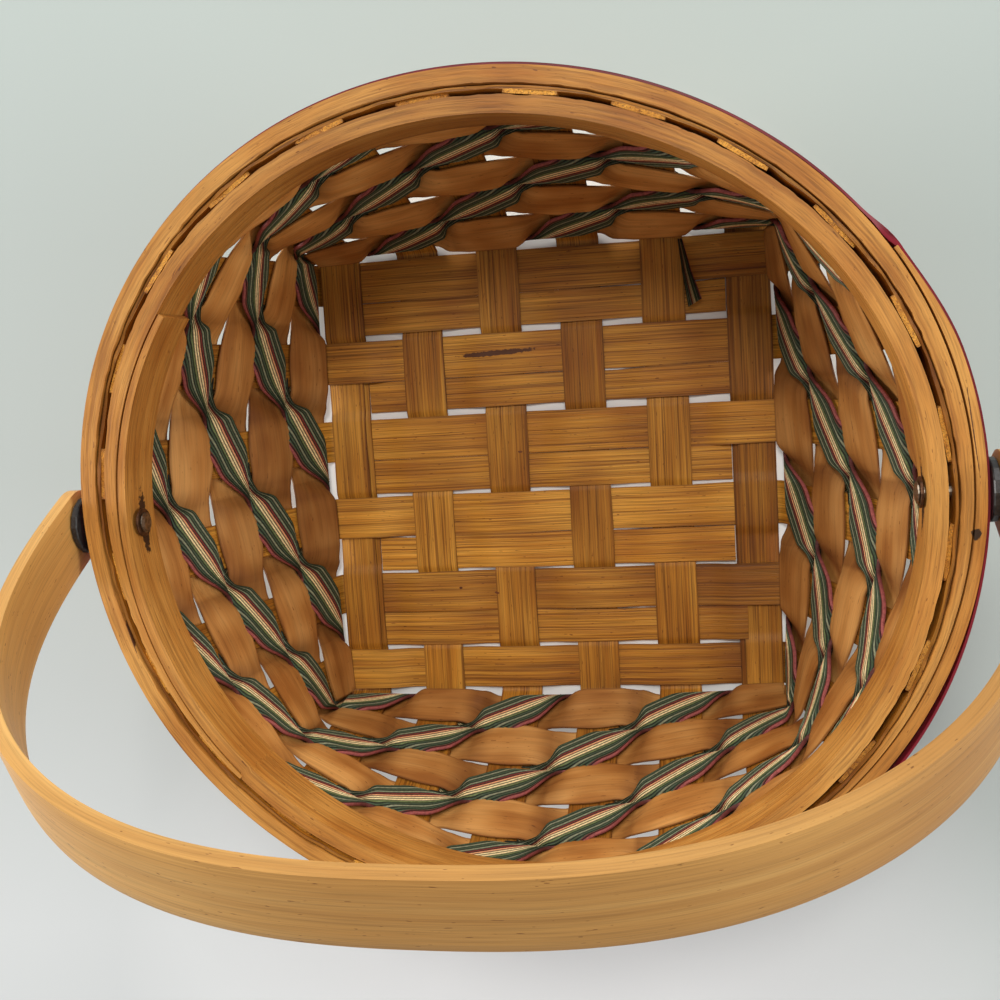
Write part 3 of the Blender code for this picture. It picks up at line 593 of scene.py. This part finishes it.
def wall_surface(s, height):
    """Middle surface of the wall at a place in uprights and a height."""
    base = np.floor(s).astype(int)
    y = s - base
    here, here_across = stake_line(base, height)
    there, there_across = stake_line(base + 1, height)
    first = here + here_across * stake_half_width
    second = there - there_across * stake_half_width
    span = np.linalg.norm(second - first, axis=-1, keepdims=True)
    u = np.clip((y - flat_share) / (1 - 2 * flat_share), 0, 1)[..., None]
    between = ((2 * u ** 3 - 3 * u ** 2 + 1) * first + (u ** 3 - 2 * u ** 2 + u) * here_across * span
               + (3 * u ** 2 - 2 * u ** 3) * second + (u ** 3 - u ** 2) * there_across * span)
    on_here = here + here_across * (stake_half_width * y / flat_share)[..., None]
    on_there = there + there_across * (stake_half_width * (y - 1) / flat_share)[..., None]
    spot = np.where((y < flat_share)[..., None], on_here, np.where((y > 1 - flat_share)[..., None], on_there, between))
    spot[..., 2] = height
    return spot


def wall_place(s, height, depth):
    """Point of the wall at a depth outside its middle surface."""
    spot = wall_surface(s, height)
    across = wall_surface(s + 0.04, height) - wall_surface(s - 0.04, height)
    rise = wall_surface(s, height + 0.002) - wall_surface(s, height - 0.002)
    return spot + unit(np.cross(across, rise)) * np.asarray(depth)[..., None]


def leaf_rows(row, seed):
    """Rows of points across a wood strand, from its lower to its upper edge.

    It goes in and out of the uprights with its upper edge first, behind the ribbon.
    """
    t = 1 + 5 * row + np.linspace(0.012, stakes - 0.012, 24 * 20 + 1)
    nearest = np.floor(t + 0.5)
    x = t - nearest
    level = np.where((nearest.astype(int) + row) % 2 == 0, -1.0, 1.0)
    rise = level * 0.0006 * np.sin(math.pi * x) - 0.0013 * np.cos(math.pi * x)
    middle = first_row + row * row_pitch + rise + 0.0004 * wander(t, 0.9, seed)
    half = 0.0103 - 0.0019 * smooth(np.abs(x) / 0.5) + 0.0004 * wander(t, 0.7, seed + 5)
    base = np.floor(t).astype(int)
    y = t - base
    here = np.where((base + row) % 2 == 0, -1.0, 1.0)
    points = []
    for way in (-1, -0.5, 0, 0.5, 1):
        height = np.clip(middle + way * half, 0.0028, hoop_foot - 0.0004)
        passed = smooth((y - 0.5 + 0.13 * way) / 0.26 + 0.5)
        crown = 0.0006 * (1 - way * way)
        depth = here * (1 - 2 * passed) * (0.00125 + crown)
        if row == 0:
            depth = depth - 0.0018 * max(-way, 0) * smooth(0.5 - depth / 0.0025)
        points.append(wall_place(t, height, depth))
    # Painted light and shade: each leaf is darker towards its ends, where it goes under the ribbon, darker on the lower
    # rows and lighter on the upper ones, and lighter on the back wall; its tone also wanders from leaf to leaf.
    back = smooth((points[2][:, 1] - 0.05) / 0.03)
    shade = 0.52 - 0.4 * smooth((np.abs(x) - 0.2) / 0.3) + 0.2 * wander(nearest, 1.0, seed + 3)
    return points, shade + 0.09 * (row - 2) + 0.45 * back


for row in range(5):
    points, shade = leaf_rows(row, 91 + row)
    piece = lay_strip(f"wood_strand_{row + 1}", points[0], points[-1], 0.00042, leaf_finish,
                      {"Cells": 8, "Edge share": 0.7, "Rib height": 0.0001, "Rib width": 0.003,
                       "Rib length": 0.04, "Seed": 91.0 + row}, between=points[1:-1], shade=shade)
    finish_piece(piece, "basket", "wall_splint", f"wall_splint_{row + 1}")

# Wall ribbons. Beside each wood strand runs a flat ribbon of 13 paper threads
# laid side by side and glued, with a thicker rose thread along its upper edge.
# It crosses the wood strand in every gap and covers the other side of each upright.
rose = (0.31, 0.078, 0.070)
maroon = (0.20, 0.035, 0.03)
dark_green = (0.062, 0.098, 0.052)
green = (0.17, 0.22, 0.085)
grey_green = (0.27, 0.29, 0.18)
cream = (1.0, 0.80, 0.42)
peach = (0.85, 0.40, 0.20)
ribbon_threads = (dark_green, grey_green, dark_green, grey_green, maroon, peach, cream, cream, green,
                  dark_green, grey_green, dark_green)


def ribbon_material():
    """Striped threads with their twist and a little fuzz, with painted shade in the grooves between the threads and
    where each run tucks under the next.
    """
    material = bpy.data.materials.new("striped_ribbon")
    material.use_nodes = True
    tree = material.node_tree
    shader = tree.nodes["Principled BSDF"]
    share = feed(tree, "ShaderNodeAttribute", {}, attribute_name="share").outputs["Fac"]
    lay = tree.nodes.new("ShaderNodeTexCoord").outputs["UV"]
    stops = [(place / 14, colour) for place, colour in enumerate(ribbon_threads)] + [(0.9, maroon), (0.946, rose)]
    wobble = feed(tree, "ShaderNodeTexNoise", {"Vector": scaled(tree, lay, 260.0), "Scale": 1.0, "Detail": 1.0}).outputs[0]
    place = calc(tree, "ADD", share, calc(tree, "MULTIPLY", calc(tree, "SUBTRACT", wobble, 0.5), 0.02))
    colour = ramp(tree, place, stops, "CONSTANT")
    # Painted shade in the grooves between the threads.
    thread = calc(tree, "ABSOLUTE", calc(tree, "SINE", calc(tree, "MULTIPLY", share, math.pi * 14)))
    thread = calc(tree, "MAXIMUM", thread, ramp(tree, share, ((0.95, (0.0,) * 3), (0.965, (1.0,) * 3))))
    shade = ramp(tree, thread, ((0.3, (0.03,) * 3), (0.97, (1.0,) * 3)))
    colour = blended(tree, "MULTIPLY", 0.93, colour, shade)
    parts = feed(tree, "ShaderNodeSeparateXYZ", {0: lay}).outputs
    twist_spot = feed(tree, "ShaderNodeCombineXYZ", {
        0: calc(tree, "MULTIPLY", calc(tree, "ADD", parts[0], calc(tree, "MULTIPLY", parts[1], 0.8)), 900.0),
        1: calc(tree, "MULTIPLY", parts[1], 1100.0)}).outputs[0]
    twist = feed(tree, "ShaderNodeTexNoise", {"Vector": twist_spot, "Scale": 1.0, "Detail": 1.0}).outputs[0]
    fleck = ramp(tree, twist, ((0.3, (0.6,) * 3), (0.7, (1.35,) * 3)))
    colour = blended(tree, "MULTIPLY", 0.6, colour, fleck)
    # Painted shade where each run tucks under the next, read from the shade attribute.
    tuck_shade = feed(tree, "ShaderNodeAttribute", {}, attribute_name="shade").outputs["Fac"]
    colour = blended(tree, "MULTIPLY", 1.0, colour, ramp(tree, tuck_shade, ((0.0, (0.16, 0.13, 0.11)), (0.5, (1.0,) * 3))))
    tree.links.new(colour, shader.inputs["Base Color"])
    shader.inputs["Roughness"].default_value = 0.62
    shader.inputs["Specular IOR Level"].default_value = 0.3
    bump = feed(tree, "ShaderNodeBump", {"Strength": 0.7, "Distance": 0.0003,
                                         "Height": calc(tree, "ADD", thread, calc(tree, "MULTIPLY", twist, 0.5))})
    tree.links.new(bump.outputs[0], shader.inputs["Normal"])
    return material


ribbon_finish = ribbon_material()


def ribbon_rows(row, seed):
    """Rows of points across a ribbon, from its green edge to its rose edge, and its painted shade there.

    The ribbon is wound like a tape round a flat core as high as the row: down
    inside an upright, under, up outside the next one, and over again. Its runs
    inside are longer than the uprights' spacing, each with its head over the
    tail of the one before.
    """
    reach = 0.0096
    inside = 0.54
    slope = math.atan(2 * reach / (0.036 * 2 * inside))
    t = 4 + 5 * row + np.linspace(0.02, stakes - 0.02, 24 * 28 + 1)
    turns = t + (row + 1)
    past = turns - 2 * np.round(turns / 2)
    along = past / inside
    head = smooth((-along - 0.6) / 0.4)
    tail = smooth((along - 0.15) / 0.85)
    half = np.where(np.abs(along) < 1, 0.0081 - 0.0054 * np.maximum(head, tail),
                    0.0068 - 0.0040 * smooth((1 - np.abs(past)) / (1 - inside)))
    half = half + 0.00015 * wander(t, 0.5, seed)
    # Painted shade: the ribbon is darkened where each run's tail goes under the head of the next, and a little at the
    # head.
    shade = 0.5 - 0.12 * head - 0.42 * smooth((along - 0.5) / 0.5) * (along < 1.15)
    centre = first_row + row * row_pitch + 0.0005 * wander(t, 1.1, seed + 9)
    points = []
    for way in np.linspace(-1, 1, 13):
        s = t + way * half * math.sin(slope) / 0.036
        phase = turns - way * half * math.cos(slope) / (2 * reach) * 2 * inside
        whole = 2 * np.round(phase / 2)
        past = phase - whole
        far = np.abs(past)
        past = np.sign(past) * np.where(far < inside, far * 0.5 / inside, 0.5 + (far - inside) * 0.5 / (1 - inside))
        wound = math.pi * (whole + past)
        height = centre - reach * np.arcsin(0.985 * np.sin(wound)) / math.asin(0.985)
        depth = -np.clip(2.4 * np.cos(wound), -1, 1)
        depth = np.sign(depth) * smooth(np.abs(depth)) ** 0.7 * 0.0016
        depth = depth + 0.0008 * np.clip(past / 0.5, -1, 1) * (depth < 0)
        height = np.clip(height, 0.0026, hoop_foot - 0.0003)
        points.append(wall_place(s, height, depth))
    return points, shade


for row in range(5):
    points, shade = ribbon_rows(row, 111 + row)
    piece = lay_strip(f"ribbon_{row + 1}", points[0], points[-1], 0.0004, ribbon_finish,
                      {"Cells": 28, "Edge share": 0.6, "Threads": 14.0, "Thread height": 0.00025,
                       "Bead height": 0.0003, "Seed": 111.0 + row}, between=points[1:-1], shade=shade)
    finish_piece(piece, "basket", "wall_ribbon", f"wall_ribbon_{row + 1}")

# Ribbon end. The tail of one ribbon comes in under the far wall and lies loose
# on the base at the right; it was cut off slanting.
run = np.linspace(0, 1, 41)


def tail_spot(share):
    """Middle of the loose ribbon end, from the wall to its cut."""
    return vector(np.interp(share, (0, 0.45, 1), (0.0605, 0.0628, 0.0658)),
                  np.interp(share, (0, 0.45, 1), (0.0962, 0.0825, 0.0690)),
                  np.interp(share, (0, 0.2, 1), (0.0074, 0.0056, 0.0044)))


tail_side = np.array([[0.0018, 0.0004, 0.0002]])
tail_width = (0.5 + 1.2 * run)[:, None]
piece = lay_strip("ribbon_tail", tail_spot(1.05 * run) - tail_side * tail_width,
                  tail_spot(0.93 * run) + tail_side * tail_width, 0.0004, ribbon_finish,
                  {"Cells": 28, "Edge share": 0.6, "Threads": 14.0, "Thread height": 0.00020,
                   "Seed": 127.0}, shade=0.42)
finish_piece(piece, "basket", "wall_ribbon")

# Outer hoop. A hardwood strip, steamed and bent round the top of the uprights;
# its squared end laps over its own scarfed tail at the right and is glued.
hoop_grain = {"Fibre width": 0.00045, "Fibre length": 0.012, "Streak width": 0.004, "Streak length": 0.12,
              "Line width": 0.0012, "Line length": 0.05, "Tone size": 0.03, "Waver": 0.0004}
hoop_tones = ((0.62, 0.295, 0.064), (0.53, 0.228, 0.041), (0.42, 0.155, 0.022))
outer_finish = wood_finish(
    "bentwood_outer_hoop", *hoop_tones, hoop_grain, 0.00020, 0.58, 0.6, 0.35, 0.1,
    marks=(((0.1513, -0.0130, rim_top), -5, (0.0017, 0.0019, 0.003), (0.035, 0.018, 0.008)),
           ((0.1508, 0.0200, rim_top), 97, (0.016, 0.00022, 0.003), (0.10, 0.035, 0.010)),
           ((-0.1440, 0.0180, rim_top), 82, (0.008, 0.00022, 0.003), (0.09, 0.028, 0.008)),
           ((-0.1385, -0.0400, rim_top), 106, (0.010, 0.00022, 0.003), (0.09, 0.028, 0.008)),
           ((-0.0500, 0.1405, rim_top), 20, (0.012, 0.00025, 0.003), (0.09, 0.028, 0.008))))
# The inner hoop's two dark marks by the rivets are painted shade: the splits in the hoop there, drawn as dark patches
# instead of openings.
inner_finish = wood_finish(
    "bentwood_inner_hoop", *hoop_tones, hoop_grain, 0.00020, 0.58, 0.6, 0.35, 0.1,
    marks=(((-0.1336, -0.0005, 0.1098), 90, (0.0125, 0.006, 0.0030), (0.045, 0.016, 0.005)),
           ((0.1360, -0.0020, 0.1110), 90, (0.0125, 0.006, 0.0022), (0.045, 0.016, 0.005))))
outer_thickness = 0.0062
lap_span = math.radians(75)
tip_thickness = 0.0015
touch = 0.0003


def hoop_faces(turned, thickness, lap_thickness):
    """Exposed and mating faces of a lapped hoop, measured from its main face."""
    lap = (touch + lap_thickness) * np.maximum(1 - turned / lap_span, 0)
    scarf = thickness - tip_thickness
    mating = np.where(turned <= lap_span, touch - scarf * turned / lap_span, -thickness)
    past = turned > 2 * math.pi
    face = np.where(past, -scarf * (turned - 2 * math.pi) / lap_span, lap)
    return face, mating


def hoop_strip(name, inset, thickness, lap_thickness, head, way, exposed, seed, skive, finish, back_shade):
    """A lapped hoop round the rim; its head is skived thin, and its hidden side is torn a little.

    The last argument is how much darker its wood is painted at the back: painted shade.
    """
    turned = np.linspace(0, 2 * math.pi + lap_span, 520)
    face, mating = hoop_faces(turned, thickness, lap_thickness)
    face = face - skive * (1 - smooth(turned / 0.25))
    torn = np.clip(wander(turned, 0.023, seed + 7), -0.4, 1) * (0.5 + 0.5 * wander(turned, 0.2, seed + 8))
    mating = mating + 0.00045 * np.where(turned > lap_span, torn, 0)
    mating = np.where(face - mating < 0.0014, face - 0.0014, mating)
    angle = head + way * turned
    offset = (face + mating) / 2
    half = (face - mating) / 2
    lift = 0.0003 * wander(turned, 0.35, seed)
    lower = rim_spot(angle, inset - exposed * offset, hoop_foot + 0.00015 * wander(turned, 0.3, seed + 3))
    upper = rim_spot(angle, inset - exposed * offset, rim_top - 0.0003 + lift)
    if way < 0:
        lower, upper = upper, lower
    return lay_strip(name, lower, upper, half, finish,
                     {"Cells": 18, "Edge share": 0.9, "Rib height": 0.0001, "Rib width": 0.004,
                      "Rib length": 0.05, "Seed": float(seed)},
                     shade=0.52 - back_shade * np.maximum(np.cos(angle - math.radians(100)), 0) ** 2)


outer_head = math.radians(31)
piece = hoop_strip("bent_outer_hoop", 0, outer_thickness, 0.0033, outer_head, -1, 1, 131, 0.0020, outer_finish, 0.14)
finish_piece(piece, "basket", "hoop_wood", "outer_hoop")

# Inner hoop. The second hoop, bent inside the uprights, clamps them; its
# squared end laps over the inside at the left.
inner_inset = 0.0158
piece = hoop_strip("bent_inner_hoop", inner_inset, 0.0065, 0.0024, math.radians(147.7), 1, -1, 137, 0.0, inner_finish, 0.32)
finish_piece(piece, "basket", "hoop_wood", "inner_hoop")

# Channel splint. A light thin splint lies in the channel between the hoops,
# outside the ends of the uprights, and packs them tight.


def rim_ring(name, low, high, thickness, inset_at, finish, sizes):
    """A thin splint round the rim, its ends butted at the front."""
    angle = -math.pi / 2 + np.linspace(0.0028, 2 * math.pi - 0.0028, 361)
    thickness = thickness(angle)
    inset = inset_at(angle) + thickness / 2
    return lay_strip(name, rim_spot(angle, inset, low), rim_spot(angle, inset, high(angle)), thickness / 2, finish, sizes)


piece = rim_ring("channel_packing", hoop_foot, lambda angle: rim_top - 0.0012 + 0.0006 * wander(angle, 0.04, 5),
                 lambda angle: 0.0013 + 0.0004 * wander(angle, 0.05, 6), lambda angle: 0.0065 + 0 * angle,
                 splint_finish, {**splint_sizes, "Seed": 151.0})
finish_piece(piece, "basket", "base_splint", "channel_splint")

# Stained strip. A burgundy strip of veneer is wrapped round the outside of the
# outer hoop and tacked under the washers.
stain_finish = wood_finish(
    "burgundy_stain", (0.36, 0.014, 0.038), (0.27, 0.010, 0.026), (0.15, 0.006, 0.014),
    {"Fibre width": 0.0006, "Fibre length": 0.04, "Streak width": 0.003, "Streak length": 0.1,
     "Tone size": 0.05}, 0.0001, 0.45, 0.5)


def strip_face(angle):
    """Outer face of the stained strip: over the hoop's lap, and standing off a little at the right."""
    turned = (outer_head - angle) % (2 * math.pi)
    lap = (touch + 0.0033) * np.maximum(1 - turned / lap_span, 0) - 0.0020 * (1 - smooth(turned / 0.25))
    before = smooth((turned - 2 * math.pi + 0.10) / 0.10) * 0.0017
    loose = 0.0014 * np.exp(-((angle + 0.62) / 0.35) ** 2)
    return -(np.maximum(lap, before) + touch + 0.001 + loose)


piece = rim_ring("stained_band", hoop_foot + 0.0009,
                 lambda angle: rim_top - 0.0036 + 0.0024 * np.exp(-((angle + 0.62) / 0.35) ** 2)
                 + 0.0026 * np.exp(-((angle - 0.585) / 0.05) ** 2),
                 lambda angle: 0.001 + 0.0017 * np.exp(-((angle - 0.57) / 0.035) ** 2), strip_face, stain_finish,
                 {"Cells": 6, "Edge share": 0.8, "Seed": 157.0})
finish_piece(piece, "basket", "stained_strip", "rim_strip")

# Handle. One flat strip of hardwood, steamed and bent into a hoop, with rounded
# ends that swing on the two rivets.
handle_half_width = 0.01275
handle_thickness = 0.0055
pivot_height = 0.1131
handle_finish = wood_finish(
    "handle_hardwood", (0.66, 0.365, 0.110), (0.58, 0.298, 0.081), (0.50, 0.238, 0.058),
    {"Fibre width": 0.0005, "Fibre length": 0.03, "Streak width": 0.005, "Streak length": 0.25,
     "Line width": 0.0020, "Line length": 0.16, "Tone size": 0.09, "Waver": 0.0008}, 0.00010, 0.46, 0.38, 0.12, 0.05)
right_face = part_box("washer_right")[1][0] + touch + handle_thickness / 2
left_face = -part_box("washer_left")[0][0] + touch + handle_thickness / 2
half_span = (right_face + left_face) / 2
span_shift = (right_face - left_face) / 2
handle_reach = 0.162
corner_share = 0.816
lean = math.radians(27.5)
arc = np.linspace(0, math.pi, 181)
x = np.sign(np.cos(arc)) * np.abs(np.cos(arc)) ** corner_share * half_span
v = handle_reach * np.sin(arc) ** corner_share
ends = 1 - np.cos(np.linspace(0.12, math.pi / 2, 9))[:-1]
x = np.concatenate([np.full(8, half_span), x, np.full(8, -half_span)]) + span_shift
v = np.concatenate([handle_half_width * (ends - 1), v, handle_half_width * (ends - 1)[::-1]])
tips = np.sqrt(handle_half_width ** 2 - (handle_half_width * (1 - ends)) ** 2)
half_width = np.concatenate([tips, np.full(181, handle_half_width), tips[::-1]])
middle = vector(x, -v * math.sin(lean), pivot_height + v * math.cos(lean))
side = np.array([[0.0, -math.cos(lean), -math.sin(lean)]])
# The handle is painted lighter on its left and darker on its right: painted light and shade.
piece = lay_strip("swing_handle", middle - side * half_width[:, None], middle + side * half_width[:, None],
                  handle_thickness / 2, handle_finish,
                  {"Cells": 20, "Edge share": 0.8, "Rib height": 0.0001, "Rib width": 0.008, "Rib length": 0.06,
                   "Seed": 171.0}, shade=0.57 - 1.4 * middle[:, 0])
finish_piece(piece, "handle", "handle_wood", "handle")

# Washers. Two black plastic washers keep the handle off the stained strip.
washer_finish = bpy.data.materials.new("black_washer")
washer_finish.use_nodes = True
tree = washer_finish.node_tree
shader = tree.nodes["Principled BSDF"]
spot = tree.nodes.new("ShaderNodeTexCoord").outputs["Object"]
specks = feed(tree, "ShaderNodeTexNoise", {"Vector": spot, "Scale": 900.0, "Detail": 2.0}).outputs[0]
tree.links.new(ramp(tree, specks, ((0.35, (0.010, 0.010, 0.011)), (0.7, (0.030, 0.029, 0.028)))), shader.inputs["Base Color"])
shader.inputs["Roughness"].default_value = 0.4
bump = feed(tree, "ShaderNodeBump", {"Strength": 0.2, "Distance": 0.0002, "Height": specks})
tree.links.new(bump.outputs[0], shader.inputs["Normal"])
for name in ("washer_left", "washer_right"):
    bpy.data.objects[name].data.materials[0] = washer_finish

# Rivets and burrs. A steel rivet with a low round head passes through handle,
# washer and rim on each side, and is clenched over a burr inside.
metal_finish = bpy.data.materials.new("rivet_steel")
metal_finish.use_nodes = True
tree = metal_finish.node_tree
shader = tree.nodes["Principled BSDF"]
shader.inputs["Metallic"].default_value = 1.0
spot = tree.nodes.new("ShaderNodeTexCoord").outputs["Object"]
marks = feed(tree, "ShaderNodeTexNoise", {"Vector": spot, "Scale": 700.0, "Detail": 3.0}).outputs[0]
tree.links.new(ramp(tree, marks, ((0.35, (0.20, 0.155, 0.11)), (0.65, (0.38, 0.32, 0.25)))), shader.inputs["Base Color"])
rough = ramp(tree, marks, ((0.3, (0.5,) * 3), (0.7, (0.3,) * 3)))
tree.links.new(rough, shader.inputs["Roughness"])
for name in ("rivet_left", "rivet_right"):
    bpy.data.objects[name].data.materials[0] = metal_finish
# The burrs are painted dark brown: painted shade of the slots in the inner hoop where they sit.
burr_finish = bpy.data.materials.new("burr_painted_dark")
burr_finish.use_nodes = True
tree = burr_finish.node_tree
shader = tree.nodes["Principled BSDF"]
shader.inputs["Metallic"].default_value = 0.6
shader.inputs["Roughness"].default_value = 0.5
spot = tree.nodes.new("ShaderNodeTexCoord").outputs["Object"]
marks = feed(tree, "ShaderNodeTexNoise", {"Vector": spot, "Scale": 500.0, "Detail": 3.0}).outputs[0]
tree.links.new(ramp(tree, marks, ((0.35, (0.05, 0.02, 0.008)), (0.65, (0.13, 0.055, 0.022)))), shader.inputs["Base Color"])
for name in ("burr_left", "burr_right"):
    bpy.data.objects[name].data.materials[0] = burr_finish

# Table, backdrop, lights and camera. The basket stands on a pale table in soft light, seen from above with a short
# lens; the table carries painted light.


def stage_with_painted_light(name, corners, colour, middle_colour, near_colour):
    """A flat pale sheet of the stage with painted light: lighter towards the front and under the basket, darker towards
    the back and the right.
    """
    mesh = bpy.data.meshes.new(name)
    mesh.from_pydata(corners, [], [(0, 1, 2, 3)])
    sheet = bpy.data.objects.new(name, mesh)
    bpy.context.scene.collection.objects.link(sheet)
    material = bpy.data.materials.new(name)
    material.use_nodes = True
    tree = material.node_tree
    shader = tree.nodes["Principled BSDF"]
    spot = tree.nodes.new("ShaderNodeTexCoord").outputs["Object"]
    cloud = feed(tree, "ShaderNodeTexNoise", {"Vector": spot, "Scale": 1.5, "Detail": 1.0}).outputs[0]
    parts = feed(tree, "ShaderNodeSeparateXYZ", {0: spot}).outputs
    # Painted light: lighter towards the front, darker towards the back and to the right, with a soft cloud.
    tone = calc(tree, "ADD", calc(tree, "MULTIPLY_ADD", parts[1], -1.6, 0.35), calc(tree, "MULTIPLY", cloud, 0.1))
    tone = calc(tree, "SUBTRACT", tone, calc(tree, "MULTIPLY", calc(tree, "MAXIMUM", parts[0], 0.0), 1.3))
    table = ramp(tree, tone, ((0.0, colour), (0.38, middle_colour), (0.75, near_colour)))
    # Painted light under the basket.
    far = feed(tree, "ShaderNodeVectorMath", {0: spot}, operation="LENGTH").outputs["Value"]
    under = ramp(tree, far, ((0.09, (1.0,) * 3), (0.17, (0.0,) * 3)))
    # Painted light in front of the basket, over the shadow that basket and handle cast there.
    far = feed(tree, "ShaderNodeVectorMath", {0: vcalc(tree, "SUBTRACT", spot, (-0.01, -0.26, 0.0))}, operation="LENGTH")
    before = ramp(tree, far.outputs["Value"], ((0.06, (0.8,) * 3), (0.22, (0.0,) * 3)))
    table = blended(tree, "MIX", before, table, (0.90, 0.90, 0.90))
    tree.links.new(blended(tree, "MIX", under, table, (0.90, 0.88, 0.85)), shader.inputs["Base Color"])
    shader.inputs["Roughness"].default_value = 0.7
    sheet.data.materials.append(material)
    return sheet


stage_with_painted_light("table", [(-3, -3, 0), (3, -3, 0), (3, 3, 0), (-3, 3, 0)], (0.42, 0.475, 0.45), (0.44, 0.48, 0.46), (0.60, 0.62, 0.62))

scene = bpy.context.scene
world = bpy.data.worlds.new("studio")
world.use_nodes = True
world.node_tree.nodes["Background"].inputs["Color"].default_value = (0.93, 0.96, 1.0, 1)
world.node_tree.nodes["Background"].inputs["Strength"].default_value = 0.30
scene.world = world


def soft_lamp(name, place, target, size, power, colour):
    """A square soft lamp aimed at a point."""
    data = bpy.data.lights.new(name, "AREA")
    data.shape = "DISK"
    data.size = size
    data.energy = power
    data.color = colour
    lamp = bpy.data.objects.new(name, data)
    lamp.location = place
    lamp.rotation_euler = (Vector(target) - Vector(place)).to_track_quat("-Z", "Y").to_euler()
    scene.collection.objects.link(lamp)


soft_lamp("window_lamp", (0.0, 2.5, 1.5), (0, 0, 0.08), 2.2, 42, (1.0, 0.98, 0.95))
soft_lamp("left_lamp", (-1.5, 0.1, 0.5), (0, 0, 0.08), 0.7, 19, (1.0, 0.98, 0.95))
soft_lamp("right_lamp", (1.45, -0.1, 0.55), (0, 0, 0.08), 0.7, 13, (1.0, 0.98, 0.95))
soft_lamp("top_lamp", (0.05, 0.75, 1.5), (0, 0, 0.08), 0.45, 11, (1.0, 0.98, 0.95))

lens = bpy.data.cameras.new("camera")
lens.lens = 42.51
lens.sensor_width = 36
lens.clip_start = 0.01
camera = bpy.data.objects.new("camera", lens)
camera.location = (0.0735, 0.0475, 0.5081)
camera.rotation_euler = (-0.1217, 0.18, -0.0618)
scene.collection.objects.link(camera)
scene.camera = camera
scene.view_settings.view_transform = "Standard"
